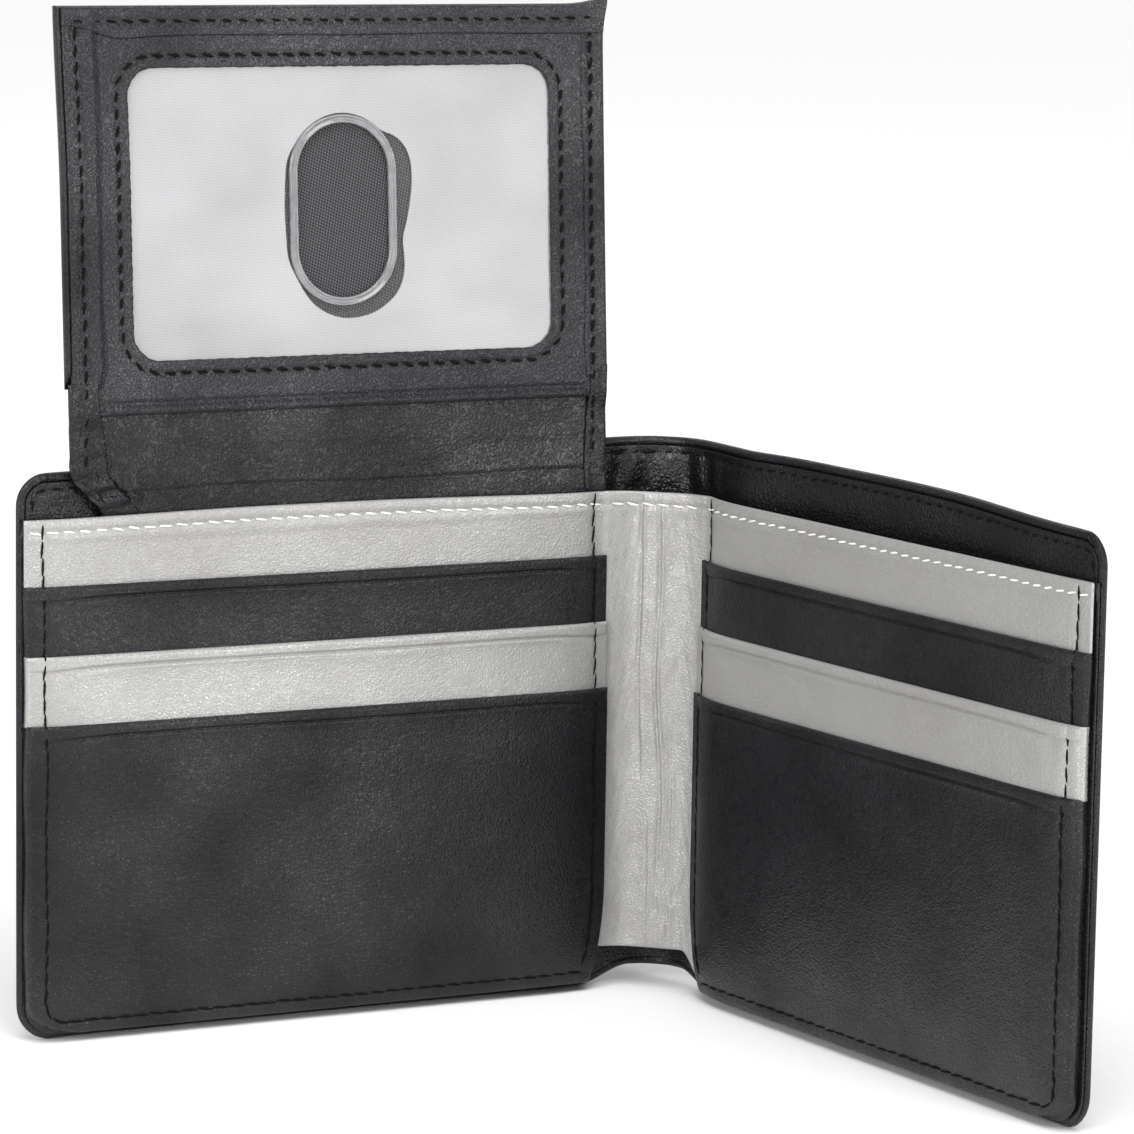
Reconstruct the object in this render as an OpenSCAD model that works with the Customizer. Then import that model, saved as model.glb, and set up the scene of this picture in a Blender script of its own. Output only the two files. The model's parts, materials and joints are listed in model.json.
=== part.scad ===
// Folding leather wallet with a flip-up card window.
// Two halves stand open like a book on their bottom edges, joined by a narrow spine.
// The left half carries the window leaf on a soft hinge along its top edge.
// Each half is drawn flat: x runs outward from its fold line, y is the depth
// (negative towards the pockets, positive towards the cover) and z is the height.

/* [Overall] */
// Fold line to outer rim of one half
panel_w = 102.5; // [90:0.5:125]
// Height of the pocket panels
inner_h = 82; // [70:0.5:100]
// Height of the cover's rim above the pocket panels
cover_stand = 7; // [3:0.5:12]
// Bottom edge of the pocket panels above the cover's bottom edge
inner_lift = 1.2; // [0.5:0.1:2]
// Angle between the two halves as the wallet stands
open_angle = 98; // [60:1:150]
// Radius of the cover's outer bottom corners
corner_bottom_r = 6; // [3:0.5:10]
// Radius of the cover's outer top corners
corner_top_r = 5; // [3:0.5:10]

/* [Leather and cloth] */
// Thickness of the outer cover leather
cover_t = 0.9; // [0.6:0.1:1.4]
// Thickness of the stiffener inside the cover
board_t = 0.6; // [0.4:0.1:1]
// Thickness of the cover's lining
lining_t = 0.3; // [0.2:0.05:0.5]
// Thickness of the pocket leather
skin_t = 0.8; // [0.5:0.05:1]
// Thickness of the pocket cloth
cloth_t = 0.2; // [0.15:0.05:0.3]
// Thickness of the banknote space between pocket panels and cover
bill_gap = 0.8; // [0.6:0.1:2]
// Width of the leather turned over at the cover's rim
rim_w = 0.8; // [0.5:0.1:1.2]
// Width of the cover leather turned in under the pocket panels
turn_in_w = 6; // [4:0.5:9]
// Clear space between leathers that meet at a fold line
fold_clear = 0.3; // [0.2:0.05:0.6]

/* [Pockets] */
// Height of the backing that shows above the pockets
band_h = 10.5; // [7:0.5:14]
// Height step from one pocket mouth to the next
pocket_step = 10.9; // [8:0.1:13]
// Fold line to the pockets' inner edge
pocket_gap = 1.3; // [1.2:0.1:2.5]
// Cover's rim to the pocket panels' outer edge
rim_gap = 0.7; // [0.4:0.1:1.5]
// Height of the leather strip of a cloth-backed pocket
face_strip_h = 22; // [15:1:30]
// Depth of a card pocket below its mouth
card_depth = 54; // [50:1:58]
// Pocket bag to the pocket's side edge
bag_inset = 5; // [4:0.5:8]

/* [Spine] */
// Room for cards between the closed halves beyond the folded window leaf
closed_clear = 3.55; // [0.5:0.05:5]
// Bottom edge of the spine strip above the cover's bottom edge
spine_strip_lift = 7; // [3:0.5:12]
// Bottom edge of the spine cover above the cover's bottom edge
spine_cover_lift = 2.5; // [1:0.5:5]

/* [Window leaf] */
// How far the leaf leans back as it stands
leaf_lean = 4; // [0:0.5:5]
// Height of the leaf's lower hinge line above the pocket panels
hinge_lift = 0.35; // [0.3:0.05:0.6]
// Cover's rim to the leaf's outer edge
leaf_side_clear = 8.1; // [6:0.1:12]
// Folded leaf's free edge above the pocket panels' bottom edge
leaf_bottom_clear = 2.4; // [1:0.1:10]
// Height of the soft hinge strip below the leaf
strip_h = 19.5; // [12:0.5:22]
// Side edge of the hinge strip inside the leaf's side edge
strip_inset = 0.5; // [0.2:0.1:1.5]
// Overlap of the window frame over the hinge strip
frame_overlap = 3.4; // [2:0.1:5]
// Thickness of the hinge strip and of its hem
strip_t = 0.6; // [0.4:0.05:0.9]
// Thickness of the window frame leather
frame_t = 0.6; // [0.4:0.05:0.9]
// Thickness of the clear window sheet
film_t = 0.3; // [0.2:0.05:0.4]
// Thickness of the leaf's back leather
leaf_back_t = 0.9; // [0.6:0.05:1.2]
// Thickness of the turned side bindings
binding_t = 0.4; // [0.2:0.05:0.6]
// Width of the outer side binding
outer_binding_w = 6; // [4:0.5:9]
// Width of the spine side binding
inner_binding_w = 3.8; // [3:0.1:7]
// Width of the top hem
top_hem_w = 5; // [4:0.5:8]
// Window opening to the leaf's outer edge
window_outer_margin = 11.3; // [9:0.1:16]
// Window opening to the leaf's spine side edge
window_inner_margin = 9.7; // [7.5:0.1:14]
// Window opening to the hinge line
window_low_margin = 23.7; // [22.5:0.1:27]
// Window opening to the leaf's top edge
window_top_margin = 10; // [8:0.1:14]
// Radius of the window's corners
window_r = 4.5; // [3:0.5:8]
// Width of the window sheet held under the frame
film_margin = 3.5; // [3:0.1:6]
// Width of the thumb slot
slot_w = 15.5; // [12:0.5:20]
// Height of the thumb slot
slot_h = 28; // [22:0.5:32]
// Width of the welded rim around the thumb slot
slot_rim_w = 1.5; // [1:0.1:2.5]
// Height of the hem that anchors the hinge strip behind the pocket panel
anchor_h = 21; // [10:1:26]

/* [Stitching] */
// Stitch spacing of the seams
stitch_pitch = 2.7; // [2:0.1:4]
// Length of one visible stitch
stitch_len = 1.9; // [1:0.1:2.6]
// Width of the thread
thread_w = 0.45; // [0.3:0.05:0.7]
// Height of the thread above the leather
thread_t = 0.25; // [0.1:0.05:0.4]
// Side seam to the pocket panels' outer edge
side_seam_inset = 3; // [2:0.1:5]
// Spine side seam to the pockets' inner edge
spine_seam_inset = 2.4; // [1.5:0.1:4]
// Bottom seam to the pocket panels' bottom edge
bottom_seam_inset = 2.3; // [1.8:0.1:4]
// Seam of the backing's top hem below its top edge
band_seam_inset = 2.1; // [1.5:0.1:4]
// Seam of the cover's rim inside its edge
cover_seam_inset = 2.6; // [1.5:0.1:4]
// Seam of the leaf inside its edge
leaf_seam_inset = 2.5; // [1.8:0.1:4]
// Seam around the window outside the opening
window_seam_inset = 2; // [1.2:0.1:3]

/* [Hidden] */

$fn = 48;

// Outline heights shared by every half
cover_h = inner_lift + inner_h + cover_stand;
inner_top = inner_lift + inner_h;
inner_outer = panel_w - rim_gap;
upper_mouth = inner_top - band_h;
middle_mouth = upper_mouth - pocket_step;
front_mouth = middle_mouth - pocket_step;
inner_corner_r = corner_bottom_r - rim_gap;
backing_gap = skin_t + fold_clear / 3;

// Depths, from the backing's rear face at 0
stack_front = 4 * skin_t;
lining_front = strip_t;
turn_in_front = lining_front + cloth_t;
cover_front = turn_in_front + bill_gap;
board_front = cover_front + lining_t;
leather_front = board_front + board_t;
cover_back = leather_front + cover_t;

// Window leaf, upright: its depths, then its two hinge lines. The strip turns up to a
// quarter turn at each, so that its short roll between them lies over the pocket panel
frame_back = film_t;
leaf_front = frame_back + frame_t + binding_t;
leaf_lining_front = film_t;
leaf_back_front = leaf_lining_front + lining_t;
leaf_back = leaf_back_front + leaf_back_t;
strip_clear = 0.05;
folded_clear = 0.2;
hinge_z = inner_top + hinge_lift;
roll_len = stack_front + leaf_front + 2 * thread_t + folded_clear;
leaf_x0 = pocket_gap + 0.1;
leaf_x1 = panel_w - leaf_side_clear;
leaf_top = inner_h + hinge_lift - leaf_bottom_clear;
frame_bottom = strip_h - frame_overlap;
window_x0 = leaf_x0 + window_inner_margin;
window_x1 = leaf_x1 - window_outer_margin;
window_z0 = window_low_margin;
window_z1 = leaf_top - window_top_margin;
slot_x = (window_x0 + window_x1) / 2;
slot_z = (window_z0 + window_z1) / 2;

// Spine between the two fold lines: both stacks, the folded leaf and the spare room
spine_w = stack_front + thread_t + roll_len + leaf_back + closed_clear;
fold = (180 - open_angle) / 2;
right_fold = [spine_w * cos(fold), -spine_w * sin(fold)];
right_out = [cos(2 * fold), -sin(2 * fold)];
right_rear = [sin(2 * fold), cos(2 * fold)];

// Middle of the standing wallet's box
leaf_reach_y = leaf_back * cos(leaf_lean) + leaf_top * sin(leaf_lean);
box_x0 = -panel_w;
box_x1 = right_fold[0] + panel_w * right_out[0] + cover_back * right_rear[0];
box_y0 = right_fold[1] + panel_w * right_out[1] + cover_front * right_rear[1];
box_y1 = max(leaf_reach_y, cover_back);
centre = [(box_x0 + box_x1) / 2, (box_y0 + box_y1) / 2];

black_leather = [0.13, 0.13, 0.14];
black_cloth = [0.07, 0.07, 0.08];
black_thread = [0.03, 0.03, 0.03];
silver_leather = [0.70, 0.69, 0.70];
white_thread = [0.92, 0.92, 0.91];
board_grey = [0.45, 0.43, 0.40];
clear_sheet = [0.84, 0.85, 0.87];

// ---- Placing ----

module on_left() {
    translate([-centre[0], -centre[1], 0]) mirror([1, 0, 0]) children();
}

module on_spine() {
    translate([-centre[0], -centre[1], 0]) rotate([0, 0, -fold]) children();
}

module on_right() {
    translate([right_fold[0] - centre[0], right_fold[1] - centre[1], 0])
        rotate([0, 0, -2 * fold]) children();
}

module on_flap() {
    on_left() translate([0, 0, hinge_z]) rotate([-leaf_lean, 0, 0]) children();
}

// ---- Shared shapes ----

// Flat rectangle from corner to corner
module slab(x0, x1, y0, y1, z0, z1) {
    translate([x0, y0, z0]) cube([x1 - x0, y1 - y0, z1 - z0]);
}

// Outline with its two outer corners rounded
module half_outline(x0, x1, z0, z1, low_r, top_r) {
    translate([x0, z0 + low_r]) square([x1 - x0, z1 - z0 - low_r - top_r]);
    translate([x0, z0]) square([x1 - x0 - low_r, low_r]);
    translate([x0, z1 - top_r]) square([x1 - x0 - top_r, top_r]);
    translate([x1 - low_r, z0 + low_r]) circle(low_r);
    translate([x1 - top_r, z1 - top_r]) circle(top_r);
}

// Outline with all four corners rounded
module round_outline(x0, x1, z0, z1, r) {
    translate([x0 + r, z0]) square([x1 - x0 - 2 * r, z1 - z0]);
    translate([x0, z0 + r]) square([x1 - x0, z1 - z0 - 2 * r]);
    for (x = [x0 + r, x1 - r], z = [z0 + r, z1 - r]) translate([x, z]) circle(r);
}

// Stadium outline standing on end
module slot_outline(x, z, w, h) {
    translate([x - w / 2, z - h / 2 + w / 2]) square([w, h - w]);
    for (side = [-1, 1]) translate([x, z + side * (h - w) / 2]) circle(w / 2);
}

// An outline in x and z made into a sheet from depth y0 to y1
module sheet(y0, y1) {
    translate([0, y1, 0]) rotate([90, 0, 0]) linear_extrude(y1 - y0) children();
}

// One stitch lying on a face at depth y, turned by angle in the sheet's plane
module stitch(x, z, y, angle, len = stitch_len) {
    translate([x, y - thread_t / 2, z])
        rotate([0, -angle, 0])
        cube([len, thread_t, thread_w], center = true);
}

// Straight seam from one point to another on a face at depth y
module seam(x0, z0, x1, z1, y) {
    length = norm([x1 - x0, z1 - z0]);
    count = max(1, round(length / stitch_pitch));
    angle = atan2(z1 - z0, x1 - x0);
    for (i = [0:count - 1]) {
        t = (i + 0.5) / count;
        stitch(x0 + t * (x1 - x0), z0 + t * (z1 - z0), y, angle, min(stitch_len, 0.75 * length / count));
    }
}

// Seam along an arc from angle a0 to a1
module arc_seam(x, z, r, a0, a1, y) {
    count = max(1, round(r * abs(a1 - a0) * PI / 180 / stitch_pitch));
    for (i = [0:count - 1]) {
        a = a0 + (a1 - a0) * (i + 0.5) / count;
        stitch(x + r * cos(a), z + r * sin(a), y, a + 90, min(stitch_len, 0.75 * stitch_pitch));
    }
}

// Face that the thread lies on at a height z: the pocket stack steps back upward
function stack_face(z) =
    -skin_t * (1 + (z < upper_mouth ? 1 : 0) + (z < middle_mouth ? 1 : 0) + (z < front_mouth ? 1 : 0));

// Upright seam over the steps of the pocket stack
module stepped_seam(x, z0, z1) {
    count = round((z1 - z0) / stitch_pitch);
    for (i = [0:count - 1]) {
        z = z0 + (i + 0.5) * (z1 - z0) / count;
        stitch(x, z, stack_face(z - stitch_len / 2), 90);
    }
}

// ---- Pieces of one half ----

// Outer leather with its turned rim, open towards the fold line
module half_cover() {
    difference() {
        sheet(cover_front, cover_back)
            half_outline(fold_clear, panel_w, 0, cover_h, corner_bottom_r, corner_top_r);
        sheet(cover_front - 1, leather_front)
            half_outline(fold_clear - 1, panel_w - rim_w, rim_w, cover_h - rim_w,
                         corner_bottom_r - rim_w, corner_top_r - rim_w);
    }
}

// Flat layer held inside the cover's rim
module half_cover_layer(y0, y1) {
    sheet(y0, y1)
        half_outline(fold_clear, panel_w - rim_w, rim_w, cover_h - rim_w,
                     corner_bottom_r - rim_w, corner_top_r - rim_w);
}

// Cover leather turned in along the outer side and the bottom
module half_turned_edge() {
    inset = rim_gap / 2;
    difference() {
        sheet(turn_in_front, cover_front)
            half_outline(fold_clear, panel_w - inset, inset, inner_top, corner_bottom_r - inset, 1);
        sheet(turn_in_front - 1, cover_front + 1)
            half_outline(fold_clear - 1, panel_w - turn_in_w, turn_in_w, inner_top + 1, 1, 1);
    }
}

module half_backing() {
    sheet(-skin_t, 0)
        half_outline(backing_gap, inner_outer, inner_lift, inner_top, inner_corner_r, 1);
}

// Stiffener behind the backing, up to a given height
module half_backing_board(top) {
    slab(pocket_gap, inner_outer - 1, 0, strip_t, inner_lift + inner_corner_r, top);
}

module half_backing_lining() {
    sheet(lining_front, turn_in_front)
        half_outline(backing_gap, inner_outer, inner_lift, inner_top - 1, inner_corner_r, 1);
}

// Leather strip of a pocket; layer 1 lies on the backing
module half_pocket_strip(layer, mouth) {
    slab(pocket_gap, inner_outer, -skin_t * (layer + 1), -skin_t * layer, mouth - face_strip_h, mouth);
}

// Cloth below the strip, against the layer behind it
module half_pocket_bag(layer, mouth) {
    slab(pocket_gap + bag_inset, inner_outer - bag_inset,
         -skin_t * layer - cloth_t, -skin_t * layer,
         max(mouth - card_depth, inner_lift + 1), mouth - face_strip_h);
}

module half_front_pocket() {
    sheet(-stack_front, -skin_t * 3)
        half_outline(pocket_gap, inner_outer, inner_lift, front_mouth, inner_corner_r, 0.01);
}

// Seam through every layer: up the outer side, round the corner, along the bottom
module half_edge_stitching() {
    x = inner_outer - side_seam_inset;
    z = inner_lift + bottom_seam_inset;
    r = max(inner_corner_r - bottom_seam_inset, 1);
    stepped_seam(x, z + r, inner_top - 0.5);
    arc_seam(x - r, z + r, r, -90, 0, -stack_front);
    seam(pocket_gap + spine_seam_inset, z, x - r, z, -stack_front);
}

module half_spine_side_stitching() {
    stepped_seam(pocket_gap + spine_seam_inset, inner_lift + bottom_seam_inset + 1, inner_top - 0.5);
}

module half_band_stitching() {
    z = inner_top - band_seam_inset;
    seam(pocket_gap + spine_seam_inset + 0.5, z, inner_outer - side_seam_inset - 0.5, z, -skin_t);
}

// Seam of the cover's top rim and rounded top corner, on the lining
module half_cover_stitching() {
    z = cover_h - cover_seam_inset;
    x = panel_w - cover_seam_inset;
    r = corner_top_r - cover_seam_inset;
    seam(fold_clear, z, x - r, z, cover_front);
    arc_seam(x - r, z - r, r, 0, 90, cover_front);
    seam(x, inner_top, x, z - r, cover_front);
}

// ---- Left half ----

module left_cover() { color(black_leather) on_left() half_cover(); }
module left_cover_board() { color(board_grey) on_left() half_cover_layer(board_front, leather_front); }
module left_cover_lining() { color(black_cloth) on_left() half_cover_layer(cover_front, board_front); }
module left_turned_edge() { color(black_leather) on_left() half_turned_edge(); }
module left_backing() { color(silver_leather) on_left() half_backing(); }
module left_backing_board() {
    color(board_grey) on_left() half_backing_board(inner_top - anchor_h - 1);
}
module left_backing_lining() { color(black_cloth) on_left() half_backing_lining(); }
module left_upper_pocket() { color(black_leather) on_left() half_pocket_strip(1, upper_mouth); }
module left_upper_pocket_bag() { color(black_cloth) on_left() half_pocket_bag(1, upper_mouth); }
module left_middle_pocket() { color(silver_leather) on_left() half_pocket_strip(2, middle_mouth); }
module left_middle_pocket_bag() { color(black_cloth) on_left() half_pocket_bag(2, middle_mouth); }
module left_front_pocket() { color(black_leather) on_left() half_front_pocket(); }
module left_edge_stitching() { color(black_thread) on_left() half_edge_stitching(); }
module left_spine_side_stitching() { color(black_thread) on_left() half_spine_side_stitching(); }
module left_band_stitching() { color(white_thread) on_left() half_band_stitching(); }
module left_cover_stitching() { color(black_thread) on_left() half_cover_stitching(); }

// ---- Right half ----

module right_cover() { color(black_leather) on_right() half_cover(); }
module right_cover_board() { color(board_grey) on_right() half_cover_layer(board_front, leather_front); }
module right_cover_lining() { color(black_cloth) on_right() half_cover_layer(cover_front, board_front); }
module right_turned_edge() { color(black_leather) on_right() half_turned_edge(); }
module right_backing() { color(silver_leather) on_right() half_backing(); }
module right_backing_board() { color(board_grey) on_right() half_backing_board(inner_top - 2); }
module right_backing_lining() { color(black_cloth) on_right() half_backing_lining(); }
module right_upper_pocket() { color(black_leather) on_right() half_pocket_strip(1, upper_mouth); }
module right_upper_pocket_bag() { color(black_cloth) on_right() half_pocket_bag(1, upper_mouth); }
module right_middle_pocket() { color(silver_leather) on_right() half_pocket_strip(2, middle_mouth); }
module right_middle_pocket_bag() { color(black_cloth) on_right() half_pocket_bag(2, middle_mouth); }
module right_front_pocket() { color(black_leather) on_right() half_front_pocket(); }
module right_edge_stitching() { color(black_thread) on_right() half_edge_stitching(); }
module right_spine_side_stitching() { color(black_thread) on_right() half_spine_side_stitching(); }
module right_band_stitching() { color(white_thread) on_right() half_band_stitching(); }
module right_cover_stitching() { color(black_thread) on_right() half_cover_stitching(); }

// ---- Spine ----

module spine_cover() {
    color(black_leather) on_spine()
        slab(fold_clear, spine_w - fold_clear, leather_front, cover_back, spine_cover_lift, cover_h);
}

module spine_cover_lining() {
    color(black_cloth) on_spine()
        slab(fold_clear, spine_w - fold_clear, leather_front - lining_t, leather_front,
             spine_cover_lift + rim_w, cover_h - rim_w);
}

module spine_strip() {
    color(silver_leather) on_spine()
        slab(backing_gap + 0.1, spine_w - backing_gap - 0.1, -skin_t, 0, spine_strip_lift, inner_top);
}

module spine_strip_lining() {
    color(black_cloth) on_spine()
        slab(backing_gap + 0.1, spine_w - backing_gap - 0.1, 0, cloth_t, spine_strip_lift + 1, inner_top - 1);
}

module spine_band_stitching() {
    z = inner_top - band_seam_inset;
    color(white_thread) on_spine() seam(backing_gap + 0.3, z, spine_w - backing_gap - 0.3, z, -skin_t);
}

module spine_cover_stitching() {
    z = cover_h - cover_seam_inset;
    color(black_thread) on_spine()
        seam(fold_clear, z, spine_w - fold_clear, z, leather_front - lining_t);
}

// ---- Window leaf ----

// Lower hem of the leaf, sewn behind the left backing
module flap_anchor_hem() {
    color(black_leather) on_left()
        slab(leaf_x0 + strip_inset, leaf_x1 - strip_inset, 0, strip_t, inner_top - anchor_h, inner_top - 0.2);
}

// Soft strip between height z0 and z1 above the lower hinge line
module strip_part(z0, z1) {
    slab(leaf_x0 + strip_inset, leaf_x1 - strip_inset, strip_clear, strip_t - strip_clear, z0, z1);
}

// Short roll of the strip that lies over the pocket panel when the leaf is folded down
module flap_roll() { color(black_leather) on_flap() strip_part(fold_clear, roll_len - fold_clear); }

module flap_hinge_strip() { color(black_leather) on_flap() strip_part(roll_len + fold_clear, strip_h); }

module flap_back() {
    color(black_leather) on_flap()
        slab(leaf_x0, leaf_x1, leaf_back_front, leaf_back, strip_h + 0.3, leaf_top);
}

module flap_lining() {
    color(black_cloth) on_flap()
        slab(leaf_x0 + 1, leaf_x1 - 1, leaf_lining_front, leaf_back_front, strip_h + 0.5, leaf_top - 1);
}

// Clear sheet behind the frame, cut out for the thumb slot
module window_sheet() {
    color(clear_sheet) on_flap() difference() {
        sheet(-frame_back, 0)
            round_outline(window_x0 - film_margin, window_x1 + film_margin,
                          window_z0 - film_margin, window_z1 + film_margin, window_r);
        sheet(-frame_back - 1, 1) slot_outline(slot_x, slot_z, slot_w, slot_h);
    }
}

// Raised welded bead around the thumb slot
module thumb_slot_rim() {
    color(clear_sheet) on_flap() difference() {
        sheet(-frame_back - frame_t, -frame_back)
            slot_outline(slot_x, slot_z, slot_w + 2 * slot_rim_w, slot_h + 2 * slot_rim_w);
        sheet(-frame_back - frame_t - 1, 1) slot_outline(slot_x, slot_z, slot_w, slot_h);
    }
}

module window_frame() {
    color(black_leather) on_flap() difference() {
        slab(leaf_x0, leaf_x1, -frame_back - frame_t, -frame_back, frame_bottom, leaf_top);
        sheet(-frame_back - frame_t - 1, 1)
            round_outline(window_x0, window_x1, window_z0, window_z1, window_r);
    }
}

// Side binding over the frame's edge
module side_binding(x0, x1) {
    slab(x0, x1, -leaf_front, -leaf_front + binding_t, strip_h + 0.3, leaf_top - top_hem_w);
}

module flap_outer_binding() {
    color(black_leather) on_flap() side_binding(leaf_x1 - outer_binding_w, leaf_x1);
}

module flap_inner_binding() {
    color(black_leather) on_flap() side_binding(leaf_x0, leaf_x0 + inner_binding_w);
}

module flap_top_hem() {
    color(black_leather) on_flap()
        slab(leaf_x0, leaf_x1, -leaf_front, -leaf_front + binding_t, leaf_top - top_hem_w, leaf_top);
}

// Seam all round the window opening, on the frame
module window_stitching() {
    d = window_seam_inset;
    r = window_r + d;
    x0 = window_x0 - d;
    x1 = window_x1 + d;
    z0 = window_z0 - d;
    z1 = window_z1 + d;
    y = -frame_back - frame_t;
    color(black_thread) on_flap() {
        seam(x0 + r, z0, x1 - r, z0, y);
        seam(x0 + r, z1, x1 - r, z1, y);
        seam(x0, z0 + r, x0, z1 - r, y);
        seam(x1, z0 + r, x1, z1 - r, y);
        arc_seam(x0 + r, z0 + r, r, 180, 270, y);
        arc_seam(x1 - r, z0 + r, r, 270, 360, y);
        arc_seam(x1 - r, z1 - r, r, 0, 90, y);
        arc_seam(x0 + r, z1 - r, r, 90, 180, y);
    }
}

// Seam up both sides and across the top, on the bindings and hem
module flap_edge_stitching() {
    x0 = leaf_x0 + leaf_seam_inset;
    x1 = leaf_x1 - leaf_seam_inset;
    z1 = leaf_top - leaf_seam_inset;
    color(black_thread) on_flap() {
        seam(x0, strip_h + 0.5, x0, z1, -leaf_front);
        seam(x1, strip_h + 0.5, x1, z1, -leaf_front);
        seam(x0 + thread_w, z1, x1 - thread_w, z1, -leaf_front);
    }
}

left_cover();
left_cover_board();
left_cover_lining();
left_turned_edge();
left_backing();
left_backing_board();
left_backing_lining();
left_upper_pocket();
left_upper_pocket_bag();
left_middle_pocket();
left_middle_pocket_bag();
left_front_pocket();
left_edge_stitching();
left_spine_side_stitching();
left_band_stitching();
left_cover_stitching();
right_cover();
right_cover_board();
right_cover_lining();
right_turned_edge();
right_backing();
right_backing_board();
right_backing_lining();
right_upper_pocket();
right_upper_pocket_bag();
right_middle_pocket();
right_middle_pocket_bag();
right_front_pocket();
right_edge_stitching();
right_spine_side_stitching();
right_band_stitching();
right_cover_stitching();
spine_cover();
spine_cover_lining();
spine_strip();
spine_strip_lining();
spine_band_stitching();
spine_cover_stitching();
flap_anchor_hem();
flap_roll();
flap_hinge_strip();
flap_back();
flap_lining();
window_sheet();
thumb_slot_rim();
window_frame();
flap_outer_binding();
flap_inner_binding();
flap_top_hem();
window_stitching();
flap_edge_stitching();
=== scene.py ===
import json
import math

import bpy
import numpy as np
from mathutils import Matrix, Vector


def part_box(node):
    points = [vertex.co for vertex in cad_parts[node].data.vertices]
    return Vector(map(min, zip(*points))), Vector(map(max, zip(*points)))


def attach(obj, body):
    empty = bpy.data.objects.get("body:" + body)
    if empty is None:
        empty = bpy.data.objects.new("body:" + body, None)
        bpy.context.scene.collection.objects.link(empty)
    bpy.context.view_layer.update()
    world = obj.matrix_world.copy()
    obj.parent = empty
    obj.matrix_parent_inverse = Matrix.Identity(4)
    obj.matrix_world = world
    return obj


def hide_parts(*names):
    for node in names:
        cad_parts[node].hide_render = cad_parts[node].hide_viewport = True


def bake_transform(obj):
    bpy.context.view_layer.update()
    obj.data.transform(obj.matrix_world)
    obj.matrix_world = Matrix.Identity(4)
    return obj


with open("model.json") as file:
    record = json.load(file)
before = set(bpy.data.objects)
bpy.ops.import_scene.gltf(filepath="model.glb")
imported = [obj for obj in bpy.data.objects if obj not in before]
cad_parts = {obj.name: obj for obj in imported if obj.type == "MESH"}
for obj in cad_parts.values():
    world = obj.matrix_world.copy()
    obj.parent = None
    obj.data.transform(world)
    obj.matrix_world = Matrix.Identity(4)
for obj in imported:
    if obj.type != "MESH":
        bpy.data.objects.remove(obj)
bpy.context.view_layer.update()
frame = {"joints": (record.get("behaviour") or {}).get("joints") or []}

# ---- Outer cover ----
# One piece of coated leather wraps the left half, the spine and the right half. Its edges
# are skived and turned inward over the stiffeners, and it stands open like a book on its
# bottom edge, rounding out behind the spine and gaping a little along its top.

MM = 0.001
folds = [np.array(joint["pos_m"][:2]) / MM for joint in frame["joints"][:2]]
spine_w = np.linalg.norm(folds[1] - folds[0])
fold = math.atan2(folds[0][1] - folds[1][1], folds[1][0] - folds[0][0])


def heading(turn):
    """Outward and rearward directions in plan of a panel turned by that angle"""
    return np.array([math.cos(turn), -math.sin(turn)]), np.array([math.sin(turn), math.cos(turn)])


spine_out, spine_rear = heading(fold)
right_out, right_rear = heading(2 * fold)
HALVES = {
    "left": (folds[0], np.array([-1.0, 0.0]), np.array([0.0, 1.0])),
    "right": (folds[1], right_out, right_rear),
}
SIDES = {"left": -1, "right": 1}


def node_sizes(node):
    """Lowest and highest corner of a node of the left half, as x out from the fold, y depth and z, in mm"""
    low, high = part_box(node)
    fold_x, fold_y = folds[0]
    near = (fold_x - high.x / MM, low.y / MM - fold_y, low.z / MM)
    far = (fold_x - low.x / MM, high.y / MM - fold_y, high.z / MM)
    return near, far


panel_w, cover_back, cover_h = node_sizes("left_cover")[1]
lining_front = node_sizes("left_cover_lining")[0][1]
board_back = node_sizes("left_cover_board")[1][1]
cover_low_r = 6.0
cover_top_r = 5.0
rim_w = 1.5
spine_lift = 2.8
cover_seam = 2.6
low_seam = 3.5


def plan_line(half_points, spine_points, rounds=5):
    """Smooth line in plan from the left half round the spine to the right half.

    half_points gives x and depth on the left and on the right half, from the outside in, and
    spine_points gives the same from fold to fold. The line knows its length from its middle."""
    corners = [
        HALVES["left"][0] + x * HALVES["left"][1] + y * HALVES["left"][2]
        for x, y in half_points["left"]
    ]
    corners += [folds[0] + x * spine_out + y * spine_rear for x, y in spine_points]
    corners += [
        HALVES["right"][0] + x * HALVES["right"][1] + y * HALVES["right"][2]
        for x, y in reversed(half_points["right"])
    ]
    points = np.array(corners)
    for _ in range(rounds):
        start, end = points[:-1], points[1:]
        cut = np.stack([0.75 * start + 0.25 * end, 0.25 * start + 0.75 * end], 1)
        points = np.concatenate([points[:1], cut.reshape(-1, 2), points[-1:]])
    length = np.concatenate([[0], np.cumsum(np.linalg.norm(np.diff(points, axis=0), axis=1))])
    s = np.arange(0, length[-1], 0.1)
    p = np.stack([np.interp(s, length, points[:, i]) for i in (0, 1)], -1)
    tangent = np.gradient(p, axis=0)
    tangent /= np.linalg.norm(tangent, axis=1)[:, None]
    across = (p - (folds[0] + folds[1]) / 2) @ spine_out
    s = s - np.interp(0, across, s)
    return {"s": s, "p": p, "n": np.stack([-tangent[:, 1], tangent[:, 0]], -1)}


def on_line(line, s, depth, z):
    """Points at a length along a plan line, a depth behind it and a height, in mm"""
    plan = [
        np.interp(s, line["s"], line["p"][:, i]) + depth * np.interp(s, line["s"], line["n"][:, i])
        for i in (0, 1)
    ]
    return np.stack(np.broadcast_arrays(plan[0], plan[1], z), -1)


def length_at(line, side, x):
    """Length along a plan line, signed, at which it is that far out on one half"""
    origin, out, _ = HALVES[side]
    mine = line["s"] * SIDES[side] > 1
    away = (line["p"][mine] - origin) @ out
    order = np.argsort(away)
    return float(np.interp(x, away[order], line["s"][mine][order]))


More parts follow.
